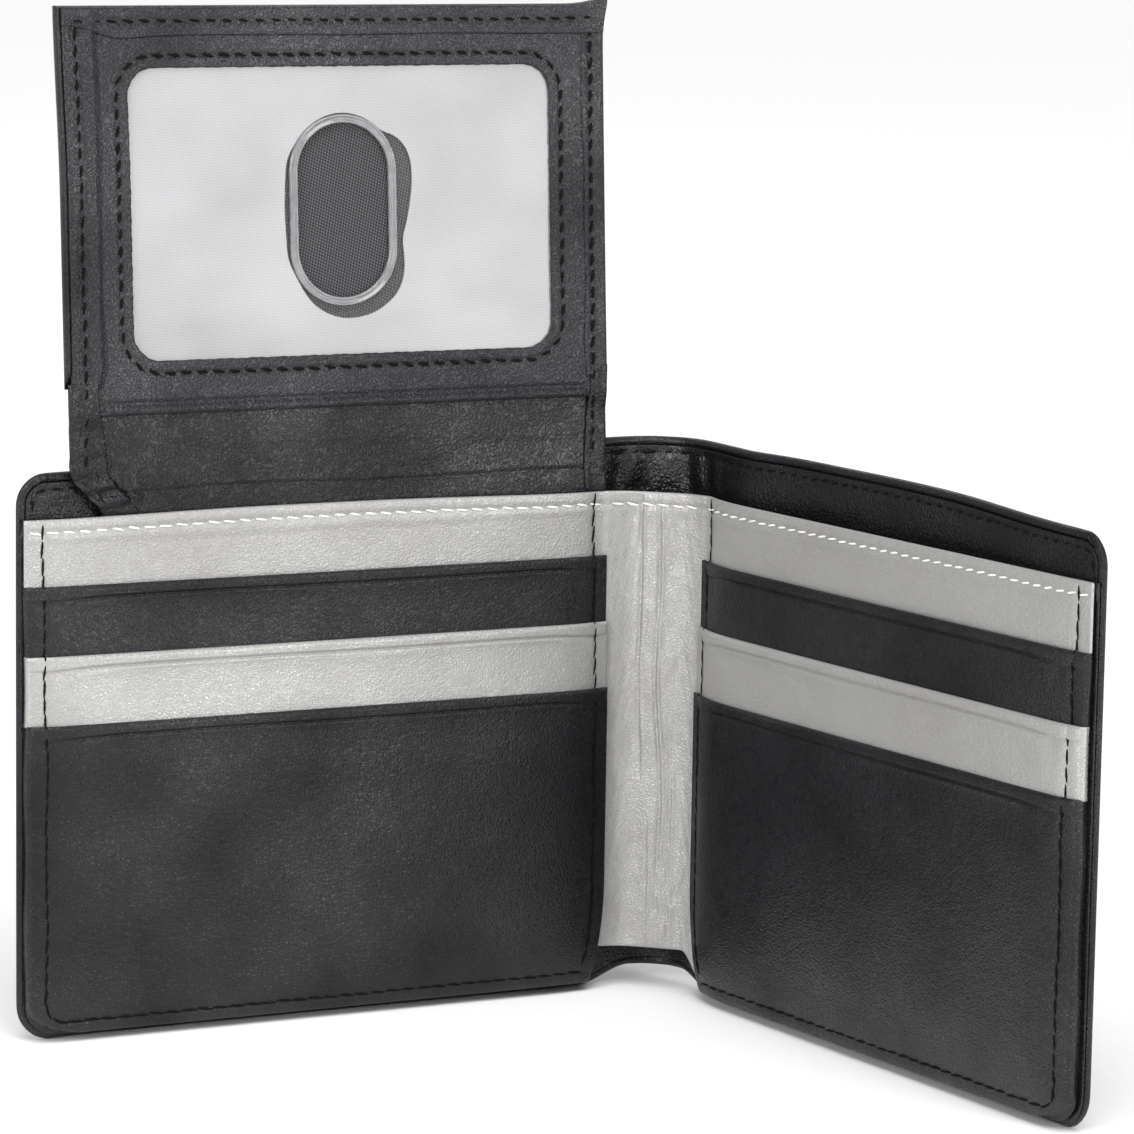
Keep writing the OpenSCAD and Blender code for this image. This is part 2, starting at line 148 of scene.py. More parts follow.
def grid_lines(start, end, coarse, *close):
    """Places from start to end: coarse apart, and step apart within reach of each (place, step, reach)"""
    fine = np.linspace(start, end, 6000)
    density = np.full_like(fine, 1 / coarse)
    for place, step, reach in close:
        density = np.maximum(density, 1 / step * np.exp(-(((fine - place) / reach) ** 4)))
    total = np.concatenate([[0], np.cumsum((density[1:] + density[:-1]) / 2 * np.diff(fine))])
    count = max(3, int(math.ceil(total[-1])) + 1)
    return np.interp(np.linspace(0, total[-1], count), total, fine)


def edge_distance(side, low, high, low_r, high_r):
    """Distance in from an outline with two round outer corners, from those to its three edges"""
    inside = np.minimum(np.minimum(side, low), high)
    for other, r in ((low, low_r), (high, high_r)):
        corner = (side < r) & (other < r)
        inside = np.where(corner, r - np.hypot(r - side, r - other), inside)
    return np.maximum(inside, 0)


def corner_cut(low, high, low_r, high_r):
    """How far the round outer corners take an outline's side in, at distances from bottom and top"""
    cut = np.zeros_like(low)
    for other, r in ((low, low_r), (high, high_r)):
        inside = np.clip(r - other, 0, r)
        cut = np.maximum(cut, r - np.sqrt(r * r - inside * inside))
    return cut


def worn_round(edge, thickness):
    """Share of a leather's thickness that is left this far in from its rounded edge"""
    inward = np.clip(edge / (thickness / 2), 0, 1)
    return np.sqrt(np.clip(1 - (1 - inward) ** 2, 0, 1))


def soft_step(value, start, end):
    """0 before start and 1 after end, smooth between"""
    t = np.clip((value - start) / (end - start), 0, 1)
    return t * t * (3 - 2 * t)


def swell(x, z, size, seed):
    """Gentle unevenness from about -1 to 1, in swells of about that size in mm"""
    draw = np.random.default_rng(seed)
    total = 0
    for _ in range(6):
        angle, phase = draw.uniform(0, 2 * math.pi, 2)
        wave = size * draw.uniform(0.6, 1.6)
        total = total + np.sin(2 * math.pi * (x * np.cos(angle) + z * np.sin(angle)) / wave + phase)
    return total / 3.7


def closed_sheet(front, back, open_side=None, wrap=False):
    """A closed skin from two grids of points that meet along their borders.

    open_side names the border where the sheet is cut through at full thickness, and wrap
    joins the last column to the first, for a sheet with a hole in it."""
    rows, columns = front.shape[:2]
    ids = np.arange(rows * columns).reshape(rows, columns)
    meets = np.zeros((rows, columns), bool)
    meets[[0, -1]] = True
    if not wrap:
        meets[:, [0, -1]] = True
    border = {
        "first_row": np.s_[0, 1:-1],
        "last_row": np.s_[-1, 1:-1],
        "first_column": np.s_[1:-1, 0],
        "last_column": np.s_[1:-1, -1],
    }
    if open_side:
        meets[border[open_side]] = False
    rear = ids.copy()
    rear[~meets] = rows * columns + np.arange((~meets).sum())
    points = np.concatenate([front.reshape(-1, 3), back[~meets]])
    if wrap:
        ids, rear = (np.hstack([g, g[:, :1]]) for g in (ids, rear))

    def quads(g):
        return np.stack([g[:-1, :-1], g[1:, :-1], g[1:, 1:], g[:-1, 1:]], -1).reshape(-1, 4)

    faces = [quads(ids), quads(rear)[:, ::-1]]
    if open_side:
        edge = {"first_row": np.s_[0], "last_row": np.s_[-1]}.get(open_side)
        edge = edge if edge is not None else np.s_[:, 0 if open_side == "first_column" else -1]
        ring = np.concatenate([front[edge], back[edge]])
        n = len(ring) // 2
        one = len(points) + np.arange(n)
        cap = np.stack([one[:-1], one[1:], one[1:] + n, one[:-1] + n], -1)
        if open_side in ("last_row", "first_column"):
            cap = cap[:, ::-1]
        points = np.concatenate([points, ring])
        faces.append(cap)
    return points, np.concatenate(faces)


def make_piece(name, parts, material):
    """Makes one smooth-shaded object from closed skins, in mm, each turned so that it faces outward"""
    verts, faces, first = [], [], 0
    for points, quads in parts:
        a, b, c = (points[quads[:, i]] for i in (0, 1, 2))
        d = points[quads[:, 3]] if quads.shape[1] > 3 else a
        middle = points.mean(0)
        volume = np.einsum("ij,ij->", np.cross(b - a, c - a), a - middle)
        volume += np.einsum("ij,ij->", np.cross(c - a, d - a), a - middle)
        verts.append(points)
        faces.append((quads if volume > 0 else quads[:, ::-1]) + first)
        first += len(points)
    mesh = bpy.data.meshes.new(name)
    mesh.from_pydata((np.concatenate(verts) * MM).tolist(), [], [f for q in faces for f in q.tolist()])
    mesh.shade_smooth()
    mesh.materials.append(material)
    obj = bpy.data.objects.new(name, mesh)
    bpy.context.scene.collection.objects.link(obj)
    return obj


def match_cut(first, second):
    """Gives two halves of one sheet the same shading where they were cut apart"""
    meshes = (first.data, second.data)
    normals = [np.array([v.normal for v in mesh.vertices]) for mesh in meshes]
    places = [np.array([v.co for v in mesh.vertices]).round(7) for mesh in meshes]
    known = {}
    for place, normal in zip(places[0].tolist(), normals[0]):
        known.setdefault(tuple(place), []).append(normal)
    shared = {}
    for i, place in enumerate(places[1].tolist()):
        for normal in known.get(tuple(place), []):
            if normal @ normals[1][i] > 0.7:
                mean = normal + normals[1][i]
                shared.setdefault(tuple(place), []).append(mean / np.linalg.norm(mean))
    for mesh, place_list, normal_list in zip(meshes, places, normals):
        for i, place in enumerate(place_list.tolist()):
            for mean in shared.get(tuple(place), []):
                if mean @ normal_list[i] > 0.7:
                    normal_list[i] = mean
        mesh.normals_split_custom_set_from_vertices(normal_list.tolist())


def linear(code):
    """Linear colour from an sRGB hex value"""
    channels = [int(code[i : i + 2], 16) / 255 for i in (1, 3, 5)]
    return [c / 12.92 if c <= 0.04045 else ((c + 0.055) / 1.055) ** 2.4 for c in channels] + [1.0]


def add(tree, kind, inputs=(), **settings):
    """Adds a node with its settings, and gives its sockets their values or links"""
    node = tree.nodes.new("ShaderNode" + kind)
    for key, value in settings.items():
        setattr(node, key, value)
    for key, value in dict(inputs).items():
        if isinstance(value, bpy.types.NodeSocket):
            tree.links.new(value, node.inputs[key])
        else:
            node.inputs[key].default_value = value
    return node


def new_finish(name, **constants):
    """A material with one principled shader, with its constant sockets set"""
    material = bpy.data.materials.new(name)
    material.use_nodes = True
    tree = material.node_tree
    shader = tree.nodes["Principled BSDF"]
    for socket, value in constants.items():
        shader.inputs[socket.replace("_", " ")].default_value = value
    return material, tree, shader


def noise(tree, place, size, detail, rough=0.5):
    """A noise node with blobs of about that size in mm"""
    inputs = {"Vector": place, "Scale": 1 / (size * MM), "Detail": detail, "Roughness": rough}
    return add(tree, "TexNoise", inputs)


def ranged(tree, value, low, high, to_low=0.0, to_high=1.0, **settings):
    """A value carried from one range to another"""
    inputs = {"Value": value, "From Min": low, "From Max": high, "To Min": to_low, "To Max": to_high}
    return add(tree, "MapRange", inputs, **settings).outputs[0]


def tint(tree, shader, factor, dark, light):
    """Colours a finish between two sRGB hex values"""
    inputs = {"Factor": factor, "A": linear(dark), "B": linear(light)}
    mixed = add(tree, "Mix", inputs, data_type="RGBA")
    tree.links.new(mixed.outputs["Result"], shader.inputs["Base Color"])


def emboss(tree, shader, height, distance, strength=1.0):
    """Gives a finish relief of that height in mm"""
    bump = add(tree, "Bump", {"Height": height, "Distance": distance * MM, "Strength": strength})
    tree.links.new(bump.outputs["Normal"], shader.inputs["Normal"])


def coated_leather(name, dark, light, grain, relief, rough, metallic=0.0, pearl=0.0):
    """Split leather with a pressed and coated grain.

    grain is the pebble's width and relief its height, in mm."""
    material, tree, shader = new_finish(name, IOR=1.5, Metallic=metallic)
    place = add(tree, "TexCoord").outputs["Object"]
    drift = noise(tree, place, 2.6, 2.0).outputs["Color"]
    drift_reach = (0.8 * MM,) * 3
    pulled = add(tree, "VectorMath", {0: drift, 1: drift_reach}, operation="MULTIPLY").outputs[0]
    moved = add(tree, "VectorMath", {0: place, 1: pulled}, operation="ADD").outputs[0]
    cells = {"Vector": moved, "Scale": 1 / (grain * MM)}
    pebbles = add(tree, "TexVoronoi", cells, feature="DISTANCE_TO_EDGE").outputs["Distance"]
    domes = ranged(tree, pebbles, 0.0, 0.32, interpolation_type="SMOOTHERSTEP")
    pores = noise(tree, place, grain * 1.7, 4.0, 0.65).outputs["Fac"]
    height = add(tree, "Math", {0: domes, 1: 0.42, 2: pores}, operation="MULTIPLY_ADD").outputs[0]
    cloudy = noise(tree, place, 24, 3.0).outputs["Fac"]
    tone = ranged(tree, cloudy, 0.3, 0.7)
    # Colour: random cloudy tone plus a painted highlight, lighter where the grain's pebbles stand highest.
    tone_and_painted_grain_highlight = add(tree, "Math", {0: tone, 1: height}, operation="ADD").outputs[0]
    tint(tree, shader, ranged(tree, tone_and_painted_grain_highlight, -0.1, 1.4), dark, light)
    emboss(tree, shader, height, relief)
    wear = ranged(tree, cloudy, 0.32, 0.68, rough + 0.06, rough - 0.06)
    sheen = ranged(tree, cloudy, 0.32, 0.68, 0.26, 0.50)
    tree.links.new(wear, shader.inputs["Roughness"])
    tree.links.new(sheen, shader.inputs["Specular IOR Level"])
    if pearl:
        shader.inputs["Coat Weight"].default_value = pearl
        shader.inputs["Coat Roughness"].default_value = 0.32
    return material


# Split cowhide, pressed with a fine pebble and coated black: a painted highlight makes the pebble tops dark
# grey and leaves the rest nearly black, with soft cloudy patches of tone and shine.
black_leather = coated_leather("black_coated_leather", "#060608", "#111115", 0.60, 0.12, 0.36)

cover_line = plan_line(
    {side: [(106, 2.5), (70, 2.5), (40, 2.5), (20, 2.5), (10, 2.6), (4, 3.4)] for side in HALVES},
    [(3.0, 6.8), (spine_w / 2, 7.4), (spine_w - 3.0, 6.8)],
)
cover_end = {side: abs(length_at(cover_line, side, panel_w)) for side in HALVES}
cover_gape = {"left": 2.2, "right": 3.4}
cover_crown = 1.1


def on_cover(side, away, depth, z):
    """Points of the cover: away from the spine's middle, depth behind the board, z up"""
    s = np.asarray(away) * SIDES[side]
    opening = soft_step(z, 14, cover_h)
    reach = soft_step(away, 6, 34) * (1 - soft_step(away, cover_end[side] - 46, cover_end[side] - 9))
    round_back = 2.4 * (1 - soft_step(away, 4, 22))
    lifted = spine_lift * (1 - soft_step(away, 5, 14)) * (1 - z / cover_h)
    crown = cover_crown * (1 - soft_step(away, 52, cover_end[side])) * soft_step(z, 40, cover_h)
    pressed = np.exp(-(((away - cover_end[side]) / 7) ** 2))
    bulge = (cover_gape[side] * reach + round_back) * opening
    depth = depth * (1 - 0.3 * pressed) - 1.05 * pressed + bulge
    return on_line(cover_line, s, depth, z + lifted + crown)


def cover_grid(side, inset, *close_rows, coarse=1.3, inner=0.0):
    """Grid over one half of the cover inside an inset.

    It gives distances from the spine's middle, heights and distances in from the edge."""
    end = cover_end[side] - inset
    away = grid_lines(inner, end, coarse, (end, 0.12, 1.0), (end - 1.8, 0.3, 1.4), (7, 0.6, 8))
    top = cover_h - inset
    z = grid_lines(inset, top, coarse, (inset, 0.12, 1.0), (top, 0.12, 1.0), *close_rows)
    away, z = np.meshgrid(away, z)
    low, high = z - inset, top - z
    radii = (cover_low_r - inset, cover_top_r - inset)
    away = inner + (away - inner) * (end - inner - corner_cut(low, high, *radii)) / (end - inner)
    return away, z, edge_distance(end - away, low, high, *radii)


def corner_pleats(side, away, z):
    """Small pleats where the turned edge is gathered round the cover's top corner"""
    out, up = away - (cover_end[side] - cover_top_r), z - (cover_h - cover_top_r)
    near = np.exp(-(((np.hypot(out, up) - 4.4) / 1.3) ** 2))
    near = near * soft_step(out, -1.5, 0.5) * soft_step(up, -1.5, 0.5)
    return 0.22 * near * np.sin(13 * np.arctan2(up, out) + 1.2 * np.sin(2 * up))


def seam_groove(distance, depth=0.14, width=0.55):
    """How far a seam's tension pulls a leather in, at a distance from the seam"""
    return depth * np.exp(-((distance / width) ** 2))


halves = []
for side in HALVES:
    away, z, edge = cover_grid(side, 0, (cover_h - cover_seam, 0.35, 1.2), (low_seam, 0.4, 1.0))
    full = cover_back - board_back
    rim = (cover_back - lining_front) / 2
    front = -rim * worn_round(edge, 2 * rim) * (1 - soft_step(edge, rim_w - 0.25, rim_w))
    front = front - corner_pleats(side, away, z) * soft_step(edge, 0.1, 0.6)
    uneven = 0.10 * swell(away, z, 26, 3) + 0.035 * swell(away, z, 7, 4)
    folds_back = 0.12 * np.sin(away * 1.9 + 1.2 * np.sin(z / 17)) * np.exp(-((away / 9) ** 2))
    seams = seam_groove(cover_h - cover_seam - z) + seam_groove(z - low_seam)
    seams = seams + seam_groove(cover_end[side] - 3.3 - away)
    back = full * worn_round(edge, 2 * full) + (uneven + folds_back - seams) * soft_step(edge, 0.3, 2)
    sheet = closed_sheet(on_cover(side, away, front, z), on_cover(side, away, back, z), "first_column")
    halves.append(make_piece(f"{side}_cover_leather", [sheet], black_leather))
left_cover, right_cover = halves
match_cut(left_cover, right_cover)
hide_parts("left_cover", "spine_cover")
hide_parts("right_cover")


def bend_over_fold(obj, side, line, reach=5.0):
    """Bakes a piece that crosses a fold line into its mesh; it works out points either side of the fold but
    does not turn the piece with it
    """
    away = abs(length_at(line, side, 0))
    outer, inner = (
        tuple(on_line(line, place * SIDES[side], 0, cover_h / 2) * MM)
        for place in (away + reach, max(away - reach, 1.0))
    )
    if side == "left":
        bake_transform(obj)
    else:
        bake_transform(obj)


for side, obj in zip(HALVES, halves):
    bend_over_fold(obj, side, cover_line)

# ---- Cover lining and stiffeners ----
# Thin smooth lining leather is glued inside the cover and stitched round its rim. A fibre
# board lies behind it in each half and stops short of the spine, so that the spine bends.

# Thin lining leather with a shinier coat than the cover: sharper highlights on its creases.
lining_leather = coated_leather("thin_coated_lining", "#060607", "#101013", 0.75, 0.14, 0.34)

# Bonded leather fibre board: matt, mottled and unfinished.
fibre_board, tree, shader = new_finish("bonded_fibre_board", Roughness=0.9)
place = add(tree, "TexCoord").outputs["Object"]
fibres = noise(tree, place, 0.8, 5.0).outputs["Fac"]
tint(tree, shader, fibres, "#8f877b", "#a89f92")
emboss(tree, shader, fibres, 0.05)

lining_t = node_sizes("left_cover_lining")[1][1] - lining_front
board_t = board_back - lining_front - lining_t
linings = []
for side in HALVES:
    away, z, edge = cover_grid(
        side, rim_w - 0.1, (cover_h - cover_seam, 0.3, 1.2), (cover_h - 5, 0.5, 4), coarse=2.0
    )
    tops = soft_step(z, 78, 84)
    creases = 0.28 * np.sin(away * 1.35 + 0.9 * np.sin(z / 2.6)) * np.exp(-(((away - 5) / 8) ** 2)) * tops
    uneven = (0.10 * swell(away, z, 11, 8) + 0.06 * swell(away, z, 4, 9)) * tops
    seams = seam_groove(cover_h - cover_seam - z, 0.2)
    seams = seams + seam_groove(cover_end[side] - cover_seam - away, 0.2)
    thick = lining_t * worn_round(edge, lining_t)
    relief = creases + uneven + corner_pleats(side, away, z) - seams
    front = -board_t - thick - relief * soft_step(edge, 0.3, 1.8)
    back = np.full_like(front, -board_t)
    sheet = closed_sheet(on_cover(side, away, front, z), on_cover(side, away, back, z), "first_column")
    lining = make_piece(f"{side}_cover_lining_leather", [sheet], lining_leather)
    linings.append(lining)
    away, z, edge = cover_grid(side, rim_w + 0.2, coarse=5.0, inner=length_at(cover_line, "right", 16.0))
    board = closed_sheet(on_cover(side, away, -board_t + 0.01, z), on_cover(side, away, -0.01, z))
    board = make_piece(f"{side}_stiffener", [board], fibre_board)
    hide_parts(f"{side}_cover_board")
    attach(board, f"{side}_half")
match_cut(*linings)
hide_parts("left_cover_lining", "spine_cover_lining")
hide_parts("right_cover_lining")
for side, lining in zip(HALVES, linings):
    bend_over_fold(lining, side, cover_line)

# ---- Turned edge ----
# Along its outer side and bottom the cover leather is turned in once more, under the
# pocket panels, where the last seam catches it.

turned_w = 6.0
turned_t = lining_front - node_sizes("left_turned_edge")[0][1]
inner_top = node_sizes("left_backing")[1][2]
turned_inset = 0.35
side_rows = 22
for side in HALVES:
    end = cover_end[side] - turned_inset
    start = abs(length_at(cover_line, side, 10))
    r = cover_low_r - turned_inset
    turn = np.linspace(0, math.pi / 2, 12)
    straight = np.arange(start, end - r, 3.0)
    up_side = np.linspace(turned_inset + r + 3, inner_top, side_rows)
    run = np.concatenate([straight, end - r + r * np.sin(turn), np.full(side_rows, end)])
    bend_up = turned_inset + r - r * np.cos(turn)
    rise = np.concatenate([np.full(len(straight), turned_inset), bend_up, up_side])
    turn_in = np.concatenate([np.zeros(len(straight)), turn, np.full(side_rows, math.pi / 2)])
    across = np.array([0, 0.1, 0.3, 0.8, 2.5, 4.2, 5.4, 5.8, turned_w])[:, None]
    inward = np.minimum(across, np.where((turn_in > 0) & (turn_in < math.pi / 2), r - 0.3, turned_w))
    away = run - inward * np.sin(turn_in)
    z = rise + inward * np.cos(turn_in)
    edge = np.minimum(across, turned_w - across) + 0 * away
    middle = -(board_t + lining_t) - turned_t / 2 + 0.15
    half_t = (turned_t / 2 - 0.15) * worn_round(edge, turned_t)
    sheet = closed_sheet(on_cover(side, away, middle - half_t, z), on_cover(side, away, middle + half_t, z))
    turned = make_piece(f"{side}_turned_in_edge", [sheet], black_leather)
    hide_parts(f"{side}_turned_edge")
    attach(turned, f"{side}_half")

# ---- Silver backing and spine strip ----
# One silver skin runs behind the pockets of both halves and across the spine. Its top edge
# is hemmed and stitched in white, and over the spine it is soft and creased from folding.

# Pearl-coated split leather: pale warm grey with a satin sheen from mica in its coat.
silver_leather = coated_leather(
    "pearl_silver_leather", "#92908f", "#a6a5a3", 0.55, 0.085, 0.37, metallic=0.35, pearl=0.12
)

skin_t = -node_sizes("left_backing")[0][1]
inner_low = node_sizes("left_backing")[0][2]
inner_outer = node_sizes("left_backing")[1][0]
pocket_x = node_sizes("left_front_pocket")[0][0]
spine_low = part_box("spine_strip")[0].z / MM
lean_back = {"left": (0.5, 6.0), "right": (1.6, 7.0)}
cut_in = {"left": 2.6, "right": 4.2}


def lean_in(side, x):
    """How far a panel curls back towards the spine, in mm"""
    amount, reach = lean_back[side]
    return amount * np.exp(-((x / reach) ** 2))


def inner_edge(side, z):
    """The panels' spine side edge, which curves away from the spine near the bottom"""
    return pocket_x + cut_in[side] * np.clip(1 - (z - inner_low) / 17, 0, 1) ** 2


def squeeze(x, z):
    """Share of the pocket stack's thickness that the seams leave, with a slight pillow between them"""
    side = 0.30 * np.exp(-(((x - inner_outer) / 3.6) ** 2))
    spine_side = 0.26 * np.exp(-(((x - pocket_x) / 3.2) ** 2))
    bottom = 0.24 * np.exp(-(((z - inner_low) / 3.4) ** 2))
    return 0.93 * (1 - side) * (1 - spine_side) * (1 - bottom)


skin_line = plan_line(
    {
        side: [(x, float(lean_in(side, x))) for x in (104, 70, 40, 22, 14, 10, 7, 4.6)]
        + [(2.4, float(lean_in(side, 2.4)) + 0.25)]
        for side in HALVES
    },
    [(1.2, 0.9), (3.6, 1.3), (spine_w / 2, 1.5), (spine_w - 3.6, 1.4), (spine_w - 1.2, 1.4)],
)
skin_end = {side: abs(length_at(skin_line, side, inner_outer)) for side in HALVES}
skin_fold = {side: skin_end[side] - inner_outer for side in HALVES}
mouth_of_upper = node_sizes("left_upper_pocket")[1][2]
band_seam = 2.1
hem_h = 3.4
inner_h = inner_top - inner_low
corner_r = 5.3


def crease(distance, width):
    """A sharp fold mark: a valley with a raised lip on one side"""
    lip = 0.7 * np.exp(-(((distance - 1.7 * width) / width) ** 2))
    return lip - np.exp(-((distance / width) ** 2))


def skin_bottom(side, x):
    """Bottom edge of the silver skin: up at the spine, down behind the panels"""
    start, end = (3.0, 5.2) if side == "left" else (-1.6, 4.0)
    return inner_low + (spine_low - inner_low) * (1 - soft_step(x, start, end))


def top_crown(side, x):
    """How far the left panel's top edge arches up, in mm"""
    return 0.5 * (side == "left") * soft_step(x, 5, 45) * (1 - soft_step(x, 60, 98))


skins = []
for side in HALVES:
    end = skin_end[side]
    near_seams = ((end - 3, 0.35, 1.2), (skin_fold[side] + 3.7, 0.35, 1.0), (3.5, 0.2, 5.5))
    columns = grid_lines(0, end, 1.0, (end, 0.1, 0.7), *near_seams)
    near_hem = ((1 - band_seam / inner_h, 0.004, 0.014), (0.96, 0.006, 0.05))
    rows = grid_lines(0, 1, 0.012, (0, 0.0015, 0.006), (1, 0.0013, 0.006), *near_hem)
    away, v = np.meshgrid(columns, rows)
    x = away - skin_fold[side]
    corner = corner_r * np.clip(1 - v * inner_h / corner_r, 0, 1)
    seen_from = mouth_of_upper - 1.4
    hidden = 1.1 * (1 - soft_step(inner_low + v * inner_h, seen_from, seen_from + 0.8))
    away = away * (end - (corner_r - np.sqrt(corner_r**2 - corner**2)) - hidden) / end
    bottom = skin_bottom(side, x) + 0.9 * soft_step(x, 6, 9)
    top = inner_top + top_crown(side, x)
    z = bottom + (top - bottom) * v
    edge = edge_distance(end - hidden - away, z - bottom, top - z, corner_r, 0.4)
    k = squeeze(np.maximum(x, 40 * (x < 1.2)), np.maximum(z, 20 * (x < 3)))
    thick = (skin_t - 0.02) * k
    signed = away * SIDES[side]
    spine = 1 - soft_step(away, skin_fold[side] - 1.5, skin_fold[side] + 2.5)
    wander = 0.5 * np.sin(z / 13) + 0.3 * np.sin(z / 5.1 + 1)
    slant = signed - 1.0 - (z - 8) * 0.42
    marks = sum(
        depth * crease(place, width) * reach
        for depth, width, place, reach in (
            (0.30, 0.30, signed + 2.2 - 0.6 * wander, soft_step(z, 25, 60)),
            (0.34, 0.34, signed - 1.1 - wander, 0.35 + 0.65 * soft_step(z, 8, 40)),
            (0.20, 0.26, signed - 3.1 - 0.5 * wander, 1 - soft_step(z, 30, 55)),
            (0.18, 0.22, signed + 0.4 + 0.4 * wander, 1 - soft_step(z, 14, 34)),
            (0.26, 0.30, slant, soft_step(z, 8, 11) * (1 - soft_step(z, 18, 24))),
            (0.16, 0.22, signed + 4.2 - 0.1 * (z - 60), soft_step(z, 62, 76)),
        )
    )
    marks = marks + 0.35 * np.exp(-(((signed - 0.6) / 2.4) ** 2))
    marks = marks - 0.35 * np.exp(-(((signed + 3.6) / 2.2) ** 2))
    wrinkles = 0.05 * swell(away, z * 0.6, 2.2, 15) + 0.09 * swell(away, z * 0.5, 6, 16)
    spread = 0.05 * swell(x, z, 15, 21) + 0.022 * swell(x, z, 4, 22)
    hem = 0.10 * soft_step(z, inner_top - hem_h - 0.3, inner_top - hem_h)
    groove = seam_groove(top - band_seam - z, 0.2, 0.4) + seam_groove(end - 3.0 - away, 0.12)
    groove = groove + seam_groove(x - 3.7, 0.12) * (1 - spine)
    broken = 0.55 + 0.45 * np.clip(swell(signed * 2.0, z, 17, 17) + 0.6, 0, 1)
    cross = 0.05 * swell(signed * 0.5, z, 2.2, 18)
    bulge = (marks * broken + wrinkles + cross) * spine + spread * (1 - spine) + hem - groove
    round_off = worn_round(edge, skin_t)
    front = -thick / 2 - thick / 2 * round_off - bulge * soft_step(edge, 0.2, 1.2)
    back = -thick / 2 + thick / 2 * round_off
    front, back = (on_line(skin_line, signed, depth, z) for depth in (front, back))
    sheet = closed_sheet(front, back, "first_column")
    skins.append(make_piece(f"{side}_silver_skin", [sheet], silver_leather))
match_cut(*skins)
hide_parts("left_backing", "spine_strip")
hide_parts("right_backing")
for side, skin in zip(HALVES, skins):
    bend_over_fold(skin, side, skin_line, 3.2)

# ---- Cloth linings and backing boards ----
# Thin woven cloth lines the banknote space behind the silver skin, with a board between
# them, and bags of the same cloth close the two upper card pockets of each half.


def crossed_waves(tree, place, gap_x, gap_z):
    """Threads that cross: a wave along x times one along z, that far from crest to crest in mm"""
    pace = (2 * math.pi / (gap_x * MM), 0, 2 * math.pi / (gap_z * MM))
    scaled = add(tree, "VectorMath", {0: place, 1: pace}, operation="MULTIPLY").outputs[0]
    waves = add(tree, "VectorMath", {0: scaled}, operation="SINE").outputs[0]
    parts = add(tree, "SeparateXYZ", {0: waves}).outputs
    return add(tree, "Math", {0: parts["X"], 1: parts["Z"]}, operation="MULTIPLY").outputs[0]


# Plain-woven polyester pocketing: matt black, with threads 0.35 mm apart that are drawn
# 0.45 mm apart so that they show.
pocket_cloth, tree, shader = new_finish("woven_pocketing", Roughness=0.85, Sheen_Weight=0.2)
place = add(tree, "TexCoord").outputs["Object"]
crossing = crossed_waves(tree, place, 0.45, 0.45)
tint(tree, shader, crossing, "#18181a", "#2b2b2e")
emboss(tree, shader, crossing, 0.04, 0.7)


def on_half(side, x, depth, z):
    """Points on a half's pocket stack: x out from the fold, depth before squeezing, z up"""
    origin, out, rear = HALVES[side]
    y = depth * squeeze(x, z) + lean_in(side, x)
    plan = [origin[i] + x * out[i] + y * rear[i] for i in (0, 1)]
    return np.stack(np.broadcast_arrays(plan[0], plan[1], z), -1)


def flat_layer(side, low, high, ripple=0.0, seed=1, coarse=3.0):
    """A thin layer of one half, from its near corner to its far one, in mm"""
    x = grid_lines(low[0], high[0], coarse, (low[0], 0.3, 0.6), (high[0], 0.3, 0.6))
    z = grid_lines(low[2], high[2], coarse, (low[2], 0.3, 0.6), (high[2], 0.3, 0.6))
    x, z = np.meshgrid(x, z)
    edge = np.minimum(np.minimum(x - low[0], high[0] - x), np.minimum(z - low[2], high[2] - z))
    thick = high[1] - low[1]
    middle = (low[1] + high[1]) / 2 + ripple * swell(x, z, 14, seed) * soft_step(edge, 0, 3)
    half_t = thick / 2 * worn_round(edge, thick)
    return closed_sheet(on_half(side, x, middle - half_t, z), on_half(side, x, middle + half_t, z))


for side in HALVES:
    low, high = node_sizes("left_backing_board")
    board = make_piece(
        f"{side}_backing_stiffener",
        [flat_layer(side, (7.0, low[1] + 0.05, low[2]), (high[0], high[1] - 0.05, high[2]))],
        fibre_board,
    )
    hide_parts(f"{side}_backing_board")
    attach(board, f"{side}_half")
    cloths = {"backing_lining": 0.0, "upper_pocket_bag": 0.02, "middle_pocket_bag": 0.02}
    for seed, (cloth, ripple) in enumerate(cloths.items()):
        low, high = node_sizes(f"left_{cloth}")
        low = (max(low[0], 4.5), low[1], max(low[2], 6.5))
        high = (min(high[0], inner_outer - 1), high[1], high[2])
        obj = make_piece(f"{side}_{cloth}_cloth", [flat_layer(side, low, high, ripple, seed)], pocket_cloth)
        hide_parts(f"{side}_{cloth}")
        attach(obj, f"{side}_half")

reach = min(skin_fold.values()) - 0.8
low_z, high_z = spine_low + 1.0, inner_top - 1.0
x, z = np.meshgrid(np.linspace(-reach, reach, 30), np.linspace(low_z, high_z, 50))
edge = np.minimum(np.minimum(x + reach, reach - x), np.minimum(z - low_z, high_z - z))
half_t = 0.1 * worn_round(edge, 0.2)
strip_lining = make_piece(
    "spine_strip_cloth",
    [closed_sheet(on_line(skin_line, x, 0.16 - half_t, z), on_line(skin_line, x, 0.16 + half_t, z))],
    pocket_cloth,
)
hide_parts("spine_strip_lining")
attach(strip_lining, "spine")

# ---- Card pockets ----
# Three pockets lie over the silver skin of each half, each 11 mm lower than the last:
# black, silver, black. Each mouth is a turned edge, pressed flat and creased below.

stack = [("upper_pocket", black_leather), ("middle_pocket", silver_leather), ("front_pocket", black_leather)]
mouths = [node_sizes(f"left_{name}")[1][2] for name, _ in stack]
side_seam = inner_outer - 3.0
spine_seam = 2.4
bottom_seam = inner_low + 2.3


